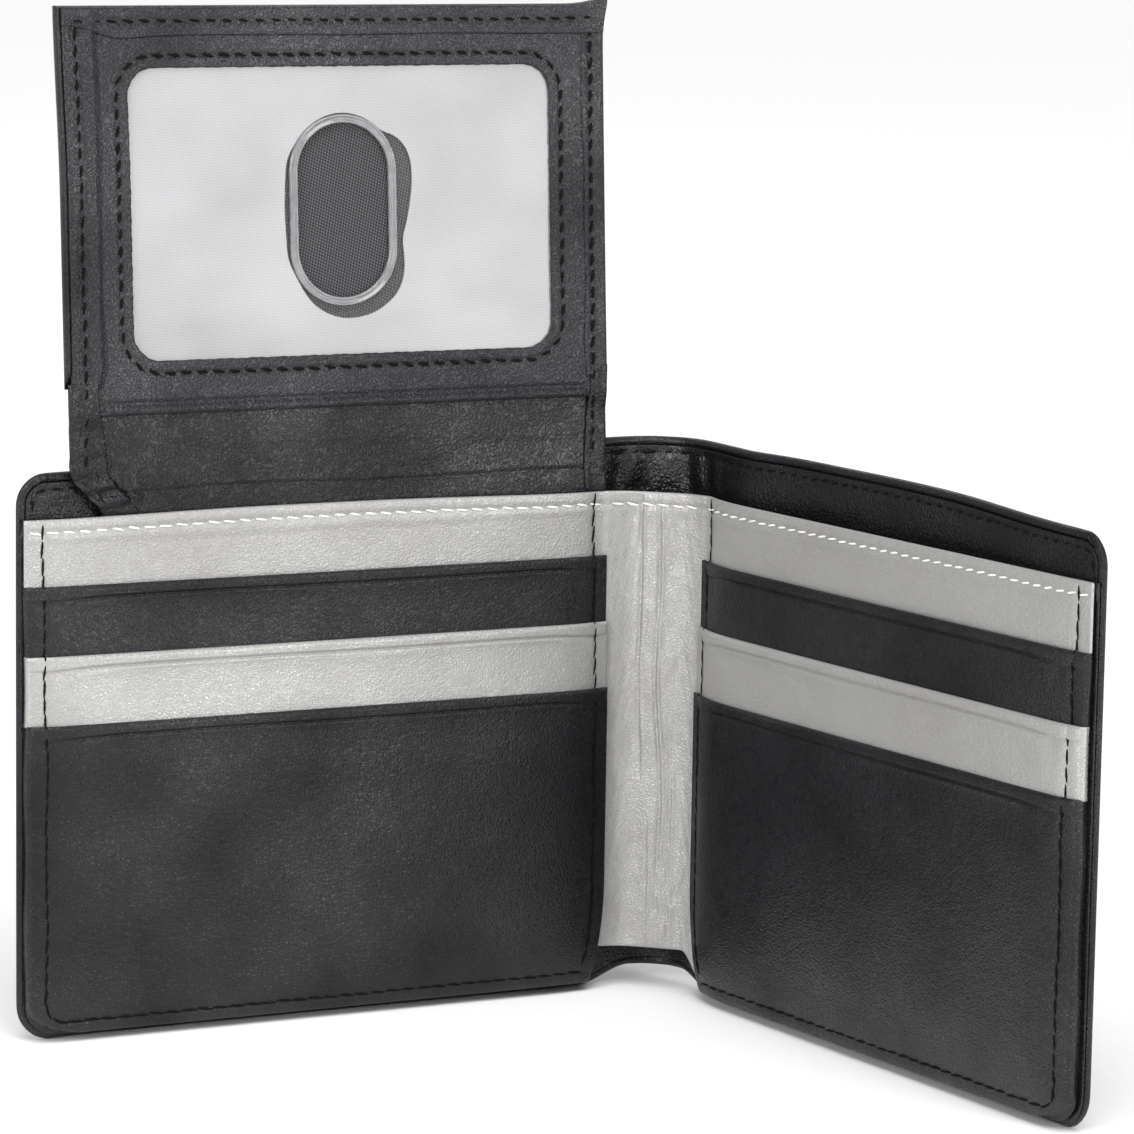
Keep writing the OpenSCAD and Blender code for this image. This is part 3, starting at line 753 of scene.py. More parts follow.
def pocket_sheet(side, layer, low, mouth, seed):
    """One pocket's leather, layer 1 lying on the silver skin"""
    near_seams = ((0.024, 0.004, 0.012), (0.97, 0.004, 0.012))
    columns = grid_lines(0, 1, 0.0095, (0, 0.001, 0.007), (1, 0.001, 0.007), *near_seams)
    near_marks = ((mouth - 1.6, 0.14, 0.9), (low, 0.12, 0.6), (bottom_seam, 0.35, 1.0))
    rows = grid_lines(low, mouth, 1.0, (mouth, 0.09, 0.6), *near_marks)
    u, z = np.meshgrid(columns, rows)
    start = inner_edge(side, z)
    low_r = corner_r if low <= inner_low + 0.1 else 0.5
    outer = inner_outer - corner_cut(z - low, np.full_like(z, 99.0), low_r, 0.5)
    if layer < 3:
        outer = outer - 1.1 * (1 - soft_step(z, mouths[layer] - 1.4, mouths[layer] - 0.6))
    outer = outer + 0.10 * np.sin(z / 3.7 + layer)
    x = start + (outer - start) * u
    outline = edge_distance(outer - x, z - low, 99 + 0 * z, low_r if low_r > 1 else 0.1, 0.1)
    wrapped = 1 - np.sqrt(1 - np.clip(1 - outline / 0.95, 0, 1) ** 2)
    edge = edge_distance(inner_outer - x, z - low, mouth - z, low_r, 0.3)
    edge = np.minimum(edge, x - start)
    edge = np.where(u == 1, 0, np.minimum(edge, outer - x))
    ends = np.exp(-(((x - start - spine_seam) / 5) ** 2)) + np.exp(-(((x - side_seam) / 6) ** 2))
    mark = mouth - 1.7 - 0.5 * ends + 0.06 * np.sin(x / 9)
    turned = 0.22 * soft_step(z - mark, -0.05, 0.22)
    pressed = 0.24 * crease(mark - 0.25 - z, 0.20) * (1 - 0.5 * ends)
    outward, inward = x - side_seam + 3.2, x - start - spine_seam - 3
    pucker = 0.22 * np.exp(-((outward / 1.6) ** 2) - ((z - mouth + 4) / 3.2) ** 2)
    pucker = pucker + 0.16 * np.exp(-((inward / 1.5) ** 2) - ((z - mouth + 5) / 3) ** 2)
    groove = seam_groove(x - side_seam - 0.1 * np.sin(z / 4)) + seam_groove(x - start - spine_seam)
    if low_r > 1:
        groove = groove + seam_groove(z - bottom_seam) * soft_step(x, 4, 6)
    uneven = 0.09 * swell(x, z, 24, seed) + 0.035 * swell(x, z, 8, seed + 1)
    uneven = uneven + 0.012 * swell(x, z, 3, seed + 2)
    pillow = 0.34 * soft_step(edge, 1.5, 12)
    relief = (turned + pressed + uneven + pillow - groove - pucker) * soft_step(edge, 0.05, 0.6)
    lip = 0.22 * soft_step(z, mouth - 7, mouth) * np.sin(math.pi * np.clip((x - 4) / 94, 0, 1))
    thick = skin_t - 0.03
    middle = -skin_t * (layer + 0.5) - lip + wrapped * (skin_t * layer + 0.1) * (low_r > 1 or layer < 3)
    half_t = thick / 2 * worn_round(edge, thick)
    front = on_half(side, x, middle - half_t - relief * (1 - wrapped), z)
    back = on_half(side, x, middle + half_t, z)
    return closed_sheet(front, back)


for side in HALVES:
    for layer, (name, leather) in enumerate(stack, 1):
        low = node_sizes(f"left_{name}")[0][2]
        seed = 40 + 10 * layer + (5 if side == "right" else 0)
        sheet = pocket_sheet(side, layer, low, mouths[layer - 1], seed)
        pocket = make_piece(f"{side}_{name}_leather", [sheet], leather)
        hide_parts(f"{side}_{name}")
        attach(pocket, f"{side}_half")

# ---- Seams of the halves ----
# Bonded polyester thread, twisted from two plies, lockstitched at 2.7 mm: black through
# the pockets and round the cover's rim, white along the silver hem.


def polyester_thread(name, dark, light, **constants):
    """Twisted polyester thread, mottled as fine as its plies"""
    material, tree, shader = new_finish(name, **constants)
    place = add(tree, "TexCoord").outputs["Object"]
    # The mottle as fine as the plies is painted shade between them.
    tint(tree, shader, noise(tree, place, 0.15, 2.0).outputs["Fac"], dark, light)
    return material


# Black polyester: smooth filaments with a slight sheen.
black_thread = polyester_thread(
    "black_polyester_thread", "#020202", "#0b0b0c", Roughness=0.75, Specular_IOR_Level=0.15
)

# White polyester of the same make: bright, with painted grey shade mottled between its plies.
white_thread = polyester_thread(
    "white_polyester_thread", "#d8d6d2", "#fbfaf8", Roughness=0.5, Sheen_Weight=0.15
)

stitch_pitch = 2.7


def seam_path(points, step=0.25):
    """Seam line through points, with its length from the start"""
    points = np.array(points, float)
    length = np.concatenate([[0], np.cumsum(np.linalg.norm(np.diff(points, axis=0), axis=1))])
    s = np.linspace(0, length[-1], max(3, int(length[-1] / step)))
    return s, np.stack([np.interp(s, length, points[:, i]) for i in (0, 1)], -1)


def arc(x, z, r, start, end, count=10):
    """Points of an arc about x, z, with its angles in degrees"""
    turn = np.radians(np.linspace(start, end, count))
    return np.stack([x + r * np.cos(turn), z + r * np.sin(turn)], -1).tolist()


def stitches(path, place, face, seed, toward=-1, width=0.42, cover=0.74, slant=0.10, lift=0.10):
    """Stitches along a seam: place(x, depth, z) puts them on a piece whose face is at face(x, z)"""
    s, line = path
    draw = np.random.default_rng(seed)
    count = max(1, round(s[-1] / stitch_pitch))
    step = s[-1] / count
    rings, sides = 11, 8
    t = np.linspace(0, 1, rings)[None, :, None]
    turn = np.linspace(0, 2 * math.pi, sides, endpoint=False)[None, None, :]
    middle = (np.arange(count)[:, None, None] + 0.5) * step
    run = middle + (t - 0.5) * step * cover
    x, z = (np.interp(run, s, line[:, i]) for i in (0, 1))
    near = 0.4
    after, before = ([np.interp(run + n, s, line[:, i]) for i in (0, 1)] for n in (near, -near))
    ahead = [a - b for a, b in zip(after, before)]
    size = np.hypot(*ahead)
    ahead = [a / size for a in ahead]
    arch = np.sin(math.pi * t) ** 0.7
    lean = slant + draw.uniform(-0.06, 0.06, (count, 1, 1))
    wander = draw.uniform(-0.07, 0.07, (count, 1, 1))
    off = wander + lean * (t - 0.5) * step
    girth = width / 2 * (0.42 + 0.58 * arch) * (1 + draw.uniform(-0.08, 0.08, (count, 1, 1)))
    girth = girth * (1 + 0.11 * np.cos(2 * (turn - 2 * math.pi * 1.6 * t)))
    sideways = off + girth * np.cos(turn)
    px = x - ahead[1] * sideways
    pz = z + ahead[0] * sideways
    rise = -0.16 + (lift + 0.16) * arch + 0.85 * girth * np.sin(turn)
    depth = face(x + 0 * turn, z + 0 * turn) + toward * rise
    points = place(px, depth, pz).reshape(-1, 3)
    ids = np.arange(count * rings * sides).reshape(count, rings, sides)
    ends = np.concatenate([ids[:, 0], ids[:, -1, ::-1]])
    ids = np.concatenate([ids, ids[:, :, :1]], 2)
    around = [ids[:, :-1, :-1], ids[:, 1:, :-1], ids[:, 1:, 1:], ids[:, :-1, 1:]]
    quads = np.stack(around, -1).reshape(-1, 4)
    caps = np.concatenate([ends[:, [0, 1, 2, 3]], ends[:, [0, 3, 4, 7]], ends[:, [4, 5, 6, 7]]])
    return points, np.concatenate([quads, caps])


def stack_face(x, z):
    """Depth before squeezing of the outermost leather of the pocket stack"""
    layers = 1 + sum((z < mouth).astype(float) for mouth in mouths)
    return -skin_t * layers + 0.02


def stacked(side):
    """Placing on one half's pocket stack"""
    return lambda x, depth, z: on_half(side, x, depth, z)


for number, side in enumerate(HALVES):
    r = corner_r - 2.3
    z_down = np.linspace(inner_top - 0.6, bottom_seam + r, 60)
    side_line = [(side_seam + 0.1 * np.sin(z / 4), z) for z in z_down]
    corner = arc(side_seam - r, bottom_seam + r, r, 0, -90)
    start = inner_edge(side, bottom_seam) + spine_seam
    edge_path = seam_path(side_line + corner + [(start, bottom_seam)])
    z_up = np.linspace(bottom_seam + 1.2, inner_top - 0.3, 80)
    spine_path = seam_path([(inner_edge(side, z) + spine_seam + 0.10 * np.sin(z / 2.9), z) for z in z_up])
    pulled_tight = {"width": 0.36, "cover": 1.04, "lift": 0.03}
    seams = {"edge": (edge_path, 70, 0.08), "spine_side": (spine_path, 80, 0.12)}
    for seam, (path, seed, slant) in seams.items():
        mesh = stitches(path, stacked(side), stack_face, seed + number, slant=slant, **pulled_tight)
        thread = make_piece(f"{side}_{seam}_thread", [mesh], black_thread)
        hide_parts(f"{side}_{seam}_stitching")
        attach(thread, f"{side}_half")

    def hem_face(x, z):
        return -skin_t + 0.05 + 0 * x

    xs = np.linspace(2.0, side_seam + 2.4, 60)
    path = seam_path(np.stack([xs, inner_top - band_seam + top_crown(side, xs)], -1))
    small = {"slant": 0.12, "cover": 0.80, "width": 0.34, "lift": 0.06}
    mesh = stitches(path, stacked(side), hem_face, 90 + number, **small)
    thread = make_piece(f"{side}_band_thread", [mesh], white_thread)
    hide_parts(f"{side}_band_stitching")
    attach(thread, f"{side}_half")

    def rim_place(x, depth, z, side=side):
        return on_cover(side, x, depth, z)

    end = cover_end[side]
    r = cover_top_r - cover_seam
    rim_points = [(abs(length_at(cover_line, side, 0)) + 2.6, cover_h - cover_seam)]
    rim_points += [(end - cover_seam - r, cover_h - cover_seam)]
    rim_points += arc(end - cover_seam - r, cover_h - cover_seam - r, r, 90, 0, 8)
    rim_points += [(end - cover_seam, inner_top - 2)]
    path = seam_path(rim_points)
    low_corner = arc(end - 6.3, low_seam + 3, 3, 0, -90, 8)
    rim_points += [(end - cover_seam - 0.7, 9), *low_corner, (14, low_seam)]
    outside = seam_path(rim_points)
    rim_face = board_back - lining_front
    inner_row = stitches(
        path, rim_place, lambda x, z: -rim_face + 0.14 + 0 * x, 100 + number, width=0.40
    )
    outer_row = stitches(
        outside, rim_place, lambda x, z: full - 0.10 + 0 * x, 110 + number, toward=1, width=0.40
    )
    thread = make_piece(f"{side}_cover_thread", [inner_row, outer_row], black_thread)
    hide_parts(f"{side}_cover_stitching")
    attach(thread, f"{side}_half")


def on_skin(x, depth, z):
    """Points over the spine: x from its middle, positive to the right"""
    return on_line(skin_line, x, depth, z)


reach = min(skin_fold.values()) + 0.6
path = seam_path([(-reach, inner_top - band_seam), (reach, inner_top - band_seam)])
thread = make_piece(
    "spine_band_thread",
    [stitches(path, on_skin, lambda x, z: -skin_t - 0.10 + 0 * x, 120, slant=-0.1, cover=0.78, width=0.36)],
    white_thread,
)
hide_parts("spine_band_stitching")
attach(thread, "spine")


def on_spine_cover(x, depth, z):
    """Points over the cover's spine: x from its middle, positive to the right"""
    left = on_cover("left", np.abs(x), depth, z)
    return np.where((x < 0)[..., None], left, on_cover("right", np.abs(x), depth, z))


reach = abs(length_at(cover_line, "left", 0)) - 1.6
path = seam_path([(-reach, cover_h - cover_seam), (reach, cover_h - cover_seam)])
thread = make_piece(
    "spine_cover_thread",
    [
        stitches(path, on_spine_cover, lambda x, z: -rim_face + 0.1 + 0 * x, 121, width=0.40),
        stitches(path, on_spine_cover, lambda x, z: full - 0.05 + 0 * x, 122, toward=1, width=0.40),
    ],
    black_thread,
)
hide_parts("spine_cover_stitching")
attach(thread, "spine")

# ---- Hinge strip of the window leaf ----
# A soft strip of thinner leather is sewn behind the left panel's top edge and carries the
# leaf. Its sides are hemmed, and at the lower outer corner it is gathered into the pocket.

hinges = [joint for joint in frame["joints"] if joint["child"] in ("leaf_roll", "window_leaf")]
hinge_z = hinges[0]["pos_m"][2] / MM
lift = [(hinges[1]["pos_m"][i] - hinges[0]["pos_m"][i]) / MM for i in (1, 2)]
lean = math.atan2(lift[0], lift[1])
roll_len = math.hypot(*lift)
tip_pull = 0.9


def on_leaf(x, depth, z):
    """Points of the leaf: x out from the fold, depth behind its plane, z up from the hinge"""
    x, depth, z = (np.asarray(a, float) for a in (x, depth, z))
    tip = np.exp(-((x - leaf_in) ** 2 + (z - leaf_top) ** 2) / 9)
    x = x - tip_pull * tip + 0.5 * soft_step(z, 50, 80) * soft_step(x, 60, 92)
    z = z + tip_pull * tip - 1.2 * (z / leaf_top) ** 2 * (z > 0)
    bow = 0.35 * np.sin(math.pi * np.clip(z / leaf_top, 0, 1)) * np.sin(x / 31 + 0.4)
    y = depth + bow
    plan_y = folds[0][1] + y * math.cos(lean) + z * math.sin(lean)
    up = hinge_z - y * math.sin(lean) + z * math.cos(lean)
    return np.stack(np.broadcast_arrays(folds[0][0] - x, plan_y, up), -1)


def leaf_sizes(node):
    """A leaf node's lowest and highest x, depth and height on the leaf, in mm"""
    low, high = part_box(node)
    depth = [low.y / MM - folds[0][1], high.y / MM - folds[0][1]]
    height = [(corner.z / MM - hinge_z) / math.cos(lean) for corner in (low, high)]
    return folds[0][0] - high.x / MM, folds[0][0] - low.x / MM, height[0], height[1], depth


leaf_in, leaf_out, _, leaf_top, _ = leaf_sizes("window_frame")
strip_in, strip_out, _, _, _ = leaf_sizes("flap_hinge_strip")
strip_front, strip_back = 0.05, 0.6
strip_top = 19.5
tuck = -6.0


def tucked(x, z):
    """How far back the strip goes below the silver edge, most at its spine side"""
    return (0.3 + 1.0 * np.exp(-(((x - strip_in) / 5) ** 2))) * (1 - soft_step(z, -1.4, 0.3))


# The same split leather shaved thinner and worked softer, with a flatter, duller grain, painted a little
# lighter than the cover as a lit copy.
soft_leather = coated_leather("soft_hinge_leather", "#09090b", "#17171b", 0.75, 0.15, 0.32)


def strip_parts(low, high, open_side):
    """The hinge strip and its two side hems, between two heights"""
    v = grid_lines(low, high, 0.8, (low, 0.2, 0.8), (high, 0.2, 0.8), (3.0, 0.3, 3.0))
    u = grid_lines(0, 1, 0.010, (0, 0.0015, 0.006), (1, 0.0015, 0.006), (0.95, 0.004, 0.06))
    u, z = np.meshgrid(u, v)
    gather = 1 - soft_step(z, -1.0, 7.0)
    outer = strip_out - 5.5 * gather
    x = strip_in + (outer - strip_in) * u
    edge = np.minimum(x - strip_in, outer - x)
    edge = np.minimum(edge, z - low if open_side == "last_row" else high - z)
    near = np.exp(-(((x - outer) / 13) ** 2)) * np.exp(-(((z - 2) / 6) ** 2))
    pleats = 0.55 * np.sin((x - outer) * 0.95 + z * 0.8)
    pleats = near * (pleats + 0.25 * np.sin((x - outer) * 2.1 - z * 0.6))
    fold_mark = 0.16 * crease(z - 3.4 - 0.2 * np.sin(x / 8), 0.35)
    fold_mark = fold_mark + 0.10 * crease(z - 8.2 - 0.02 * x, 0.5)
    uneven = 0.16 * swell(x, z, 18, 131) + 0.06 * swell(x, z, 6, 132) + 0.02 * swell(x, z, 2.5, 133)
    shadow = soft_step(z, 0.6, 4) * (1 - soft_step(z, 13.5, 16))
    relief = (pleats + fold_mark + uneven) * shadow
    thick = strip_back - strip_front
    middle = (strip_front + strip_back) / 2 - relief + tucked(x, z)
    half_t = thick / 2 * worn_round(edge, thick)
    sheet = closed_sheet(on_leaf(x, middle - half_t, z), on_leaf(x, middle + half_t, z), open_side)
    parts = [sheet]
    for inner in (True, False):
        width = 3.7 if inner else 6.2
        across = grid_lines(0, 1, 0.09, (0, 0.03, 0.06), (1, 0.03, 0.06))
        across, zz = np.meshgrid(across, v[v > -3] if low < -3 else v)
        gather = 1 - soft_step(zz, -1.0, 7.0)
        edge_x = strip_in - 0.35 if inner else strip_out + 0.25 - 5.5 * gather
        edge_x = edge_x + 0.08 * np.sin(zz / 2.1)
        taper = width - (0.9 if inner else 1.4) * soft_step(zz, 10, 20) + 0.15 * np.sin(zz / 3)
        xx = edge_x + (across if inner else -across) * taper
        over = soft_step(zz, 12.5, 16.5)
        top = -0.42 - 0.92 * over + 0.75 * (1 - soft_step(zz, -0.9, 0.7))
        side_edge = np.minimum(across, 1 - across) * width
        near = np.exp(-(((xx - edge_x) / 13) ** 2)) * np.exp(-(((zz - 2) / 6) ** 2))
        bunch = 0 if inner else near * 0.5 * np.sin(zz * 2.2 + xx * 0.4)
        ridge = -0.12 * np.exp(-(((across * width - 0.8) / 0.7) ** 2))
        ridge = ridge - 0.10 * swell(xx, zz, 5, 135) - bunch
        ridge = (ridge + seam_groove(across * width - 2.5, 0.12, 0.4)) * soft_step(zz, -0.6, 1.0)
        half_t = 0.24 * worn_round(side_edge, 0.48)
        middle = top + 0.24 + ridge + tucked(xx, zz)
        front = on_leaf(xx, middle - half_t, zz)
        parts.append(closed_sheet(front, on_leaf(xx, middle + half_t + 0.2, zz), open_side))
    return parts


lower = make_piece("hinge_strip_lower", strip_parts(tuck, roll_len / 2, "last_row"), soft_leather)
upper_parts = strip_parts(roll_len / 2, strip_top + 1.0, "first_row")
upper = make_piece("hinge_strip_upper", upper_parts, soft_leather)
match_cut(lower, upper)
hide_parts("flap_anchor_hem", "flap_roll")
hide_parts("flap_hinge_strip")


def hinge_point(z):
    """A point on the leaf's centre line at that height above the lower hinge line"""
    return tuple(float(a) * MM for a in on_leaf(47.0, 0.0, z))


hinge_point(-2.0)
hinge_point(1.8)
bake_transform(lower)
hinge_point(roll_len - 2.0)
hinge_point(roll_len + 2.0)
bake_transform(upper)

# ---- Back of the window leaf and its lining ----
# The leaf's back is one leather whose edges are turned forward round the whole stack. A
# basket-woven nylon lies on it behind the window and shows through the thumb slot.

_, _, leaf_low, _, _ = leaf_sizes("flap_back")
back_front = 0.6
back_rear = 1.5
lip_front = -0.95
frame_front = -0.9


def leaf_grid(x0, x1, z0, z1, coarse=1.2, *close):
    """Grid over a stretch of the leaf, with its distance in from the edges"""
    xs = grid_lines(x0, x1, coarse, (x0, 0.12, 0.9), (x1, 0.12, 0.9), *close)
    zs = grid_lines(z0, z1, coarse, (z0, 0.12, 0.9), (z1, 0.12, 0.9))
    x, z = np.meshgrid(xs, zs)
    return x, z, np.minimum(np.minimum(x - x0, x1 - x), np.minimum(z - z0, z1 - z))


x, z, edge = leaf_grid(leaf_in, leaf_out, leaf_low, leaf_top)
half_t = (back_rear - lip_front) / 2
middle = (back_rear + lip_front) / 2
lip = 1 - soft_step(edge, 0.75, 0.95)
lip = lip * soft_step(z, leaf_low, leaf_low + 3)
front = middle - half_t * worn_round(edge, 0.9) * lip
front = front + (back_front - middle) * (1 - lip) * soft_step(edge, 0, 0.4)
uneven = 0.10 * swell(x, z, 22, 141) + 0.03 * swell(x, z, 6, 142)
grooves = seam_groove(edge - 2.5, 0.12)
back = middle + half_t * worn_round(edge, 1.6) + (uneven - grooves) * soft_step(edge, 0.4, 2)
leaf_back = make_piece(
    "leaf_back_leather", [closed_sheet(on_leaf(x, front, z), on_leaf(x, back, z))], black_leather
)
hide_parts("flap_back")
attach(leaf_back, "window_leaf")

# Basket-woven nylon: bundles about 0.6 mm apart that cross in a diamond, matt black, with a painted
# highlight that makes each bundle's crest dark grey as a glint.
basket_cloth, tree, shader = new_finish("basket_woven_nylon", Roughness=0.6)
place = add(tree, "TexCoord").outputs["Object"]
slanted = add(tree, "Mapping", {"Vector": place, "Rotation": (0, math.radians(28), 0)}).outputs[0]
bundle = 0.60
crossing = crossed_waves(tree, slanted, bundle, bundle * 1.25)
# The lighter tone on each bundle's crest is a painted highlight.
tint(tree, shader, ranged(tree, crossing, -0.5, 0.8), "#0b0b0c", "#5a5a5e")
emboss(tree, shader, crossing, 0.08)

x, z, edge = leaf_grid(leaf_in + 0.8, leaf_out - 0.8, leaf_low + 0.3, leaf_top - 0.8, 2.0)
middle = 0.45 + 0 * x
half_t = 0.13 * worn_round(edge, 0.3)
sheet = closed_sheet(on_leaf(x, middle - half_t, z), on_leaf(x, middle + half_t, z))
lining = make_piece("leaf_lining_cloth", [sheet], basket_cloth)
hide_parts("flap_lining")
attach(lining, "window_leaf")

# ---- Window sheet and thumb slot ----
# Clear vinyl with a fine pressed weave, coloured pale grey as a painted reflection, and left clear in a wavy
# patch round the slot, where the dark cloth shows through. The slot's rim is welded.

window_in = leaf_in + 9.7
window_out = leaf_out - 11.3
window_low = 23.7
window_high = leaf_top - 10.0
window_r = 4.5
slot_x = (window_in + window_out) / 2
slot_z = (window_low + window_high) / 2
slot_w = 15.5
slot_h = 28.0
slot_rim = 1.5


def round_ring(x0, x1, z0, z1, r, side_count, corner_count):
    """Points round a rectangle with round corners, from its lower right going round"""
    corners = [(x1 - r, z0 + r, -90), (x1 - r, z1 - r, 0), (x0 + r, z1 - r, 90), (x0 + r, z0 + r, 180)]
    points = []
    for i, (cx, cz, angle) in enumerate(corners):
        points += arc(cx, cz, r, angle, angle + 90, corner_count)
        nx, nz, turn = corners[(i + 1) % 4]
        end = (nx + r * math.cos(math.radians(turn)), nz + r * math.sin(math.radians(turn)))
        start = points[-1]
        for t in np.linspace(0, 1, side_count[i % 2] + 2)[1:-1]:
            points.append([start[0] + t * (end[0] - start[0]), start[1] + t * (end[1] - start[1])])
    return np.array(points)


def slot_ring(grow, counts=(44, 60), corner_count=20):
    """Points round the thumb slot, grown by that much"""
    w, h = slot_w / 2 + grow, slot_h / 2 + grow
    return round_ring(slot_x - w, slot_x + w, slot_z - h, slot_z + h, w - 0.01, counts, corner_count)


def ring_grid(inner, outer, steps):
    """Grid between two rings of points, as x and z"""
    steps = np.asarray(steps)[:, None, None]
    grid = inner[None] * (1 - steps) + outer[None] * steps
    return grid[..., 0], grid[..., 1]


film_margin = 3.5
outer_ring = round_ring(
    window_in - film_margin,
    window_out + film_margin,
    window_low - film_margin,
    window_high + film_margin,
    1.0,
    (44, 60),
    20,
)
x, z = ring_grid(slot_ring(0), outer_ring, grid_lines(0, 1, 0.025, (0, 0.006, 0.22)))
film_out = np.hypot(x - slot_x, z - slot_z)
dip = 0.16 * np.exp(-((film_out / 26) ** 2))
film_t = 0.28
uneven = 0.10 * swell(x, z, 30, 151) + 0.03 * swell(x, z, 9, 152)
uneven = uneven * soft_step(film_out, 12, 22) * (1 - soft_step(film_out, 34, 44))
front = -film_t + dip + uneven
ring_edge = np.minimum(np.arange(len(x))[:, None], len(x) - 1 - np.arange(len(x))[:, None]) + 0 * x
shut = np.where(ring_edge == 0, 0.5, 0)
front_points = on_leaf(x, front + shut * film_t, z)
back_points = on_leaf(x, front + film_t - shut * film_t, z)
film_mesh = closed_sheet(front_points, back_points, wrap=True)

# Clear PVC, calendered with a fine diagonal weave: see-through, painted light grey as a painted reflection
# except in the wavy patch round the slot.
clear_vinyl, tree, shader = new_finish(
    "woven_press_clear_vinyl", IOR=1.53, Roughness=0.34, Coat_Weight=0.25, Coat_Roughness=0.18
)
place = add(tree, "TexCoord").outputs["Object"]
press_gap = 0.62  # 0.4 mm in the film, drawn coarser so that it shows
slanted = add(tree, "Mapping", {"Vector": place, "Rotation": (0, math.radians(-52), 0)}).outputs[0]
pressed = crossed_waves(tree, slanted, press_gap, press_gap)
speckle = noise(tree, place, 0.3, 3.0).outputs["Fac"]
# Slow drift in the painted reflection's brightness.
painted_reflection_drift = noise(tree, place, 28, 2.0).outputs["Fac"]
height = add(tree, "Math", {0: pressed, 1: 0.8, 2: speckle}, operation="MULTIPLY_ADD").outputs[0]
painted_reflection_tone = add(tree, "Math", {0: pressed, 1: 0.12, 2: painted_reflection_drift}, operation="MULTIPLY_ADD").outputs[0]
# Light grey base colour: painted reflection, with the weave faintly in it.
tint(tree, shader, ranged(tree, painted_reflection_tone, 0.25, 0.75), "#79797b", "#979799")
emboss(tree, shader, height, 0.012, 0.6)
# Where the painted reflection is left out, the sheet turns see-through.
free_of_painted_reflection = add(tree, "Attribute", attribute_name="free_of_painted_reflection").outputs["Fac"]
tree.links.new(ranged(tree, free_of_painted_reflection, 0.35, 0.65, 0.97, 0.05), shader.inputs["Alpha"])

window = make_piece("window_vinyl", [film_mesh], clear_vinyl)


def patch_width(angle):
    """How far the clear patch reaches past the slot's rim, by the direction from the slot's middle"""
    turns = [-180, -160, -142, -120, -95, -60, -38, -27, -18, -6, 11, 24, 34, 45, 140, 160, 180]
    widths = [0.8, 0.5, 0.1, 1.3, 2.0, 2.5, 2.7, 1.9, 0.7, 1.9, 2.9, 2.3, 1.1, -0.6, -0.6, 0.5, 0.8]
    return sum(np.interp(angle + shift, turns, widths) for shift in (-5, -2.5, 0, 2.5, 5)) / 5


rest = np.array([v.co for v in window.data.vertices]) / MM
local_x = folds[0][0] - rest[:, 0]
local_z = (rest[:, 2] - hinge_z) / math.cos(lean)
across = slot_x - local_x
up = local_z - slot_z
straight = (slot_h - slot_w) / 2
past = np.hypot(across, np.maximum(np.abs(up) - straight, 0)) - slot_w / 2 - slot_rim
angle = np.degrees(np.arctan2(up / slot_h * slot_w, across))
# Mask of the wavy patch round the slot that is left free of the painted reflection.
free_of_reflection = 1 - soft_step(past - patch_width(angle), -0.25, 0.25)
attribute = window.data.attributes.new("free_of_painted_reflection", "FLOAT", "POINT")
attribute.data.foreach_set("value", free_of_reflection.astype(np.float32))
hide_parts("window_sheet")
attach(window, "window_leaf")

# The same vinyl, melted and pressed into a bead: nearly clear, with bright lines along its
# two crests.
clear_bead, tree, shader = new_finish(
    "welded_vinyl_bead", IOR=1.53, Roughness=0.12, Alpha=0.8, Coat_Weight=0.8
)
place = add(tree, "TexCoord").outputs["Object"]
flow = noise(tree, place, 2.2, 2.0).outputs["Fac"]
tint(tree, shader, flow, "#6a6b6d", "#98999b")
emboss(tree, shader, flow, 0.1, 0.6)

grow = np.array([0.0, 0.08, 0.22, 0.38, 0.55, 0.72, 0.9, 1.08, 1.24, 1.38, 1.5])
crest = np.array([0.0, 0.30, 0.46, 0.42, 0.24, 0.14, 0.24, 0.44, 0.50, 0.32, 0.0])
rings = np.stack([slot_ring(g) for g in grow])
x, z = rings[..., 0], rings[..., 1]
base = -0.30 + dip[0, 0]
front = base - crest[:, None] + 0 * x
back = base + 0.18 * np.sin(math.pi * np.linspace(0, 1, len(grow)))[:, None] + 0 * x
bead_mesh = closed_sheet(on_leaf(x, front, z), on_leaf(x, back, z), wrap=True)
bead = make_piece("slot_bead", [bead_mesh], clear_bead)
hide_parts("thumb_slot_rim")
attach(bead, "window_leaf")

# ---- Window frame, side bindings and top hem ----
# The frame's leather is cut out for the window and rolled under at its bottom edge. A wide
# binding at the outer side, a narrow one at the spine side and a hem along the top hold it.

# The cover's leather again, with a bolder pebble pressed into it, painted lighter than the cover as a lit
# copy for the light the leaf catches, with a painted highlight on its pebble tops.
frame_leather_painted_lit = coated_leather("pebbled_frame_leather_painted_lit", "#101013", "#232327", 0.68, 0.20, 0.30)

frame_low = 15.3
side_counts = (90, 130)
opening = round_ring(window_in, window_out, window_low, window_high, window_r, side_counts, 16)
ragged = 0.05 * np.sin(np.arange(len(opening)) * 1.7) + 0.04 * np.sin(np.arange(len(opening)) * 0.61)
outward = opening - np.array([slot_x, slot_z])
opening = opening + outward / np.linalg.norm(outward, axis=1)[:, None] * ragged[:, None]
outline = round_ring(leaf_in + 0.3, leaf_out - 0.7, frame_low, leaf_top - 0.35, 0.6, side_counts, 16)
steps = grid_lines(0, 1, 0.035, (0, 0.008, 0.04), (1, 0.008, 0.05), (0.2, 0.02, 0.1))
x, z = ring_grid(opening, outline, steps)
past_x = np.maximum(window_in + window_r - x, x - (window_out - window_r))
past_z = np.maximum(window_low + window_r - z, z - (window_high - window_r))
from_window = np.hypot(np.maximum(past_x, 0), np.maximum(past_z, 0))
from_window = np.where((past_x < 0) | (past_z < 0), np.maximum(past_x, past_z), from_window) - window_r
from_side = np.minimum(x - leaf_in - 0.3, leaf_out - 0.7 - x)
from_outer = np.minimum(from_side, np.minimum(z - frame_low, leaf_top - 0.35 - z))
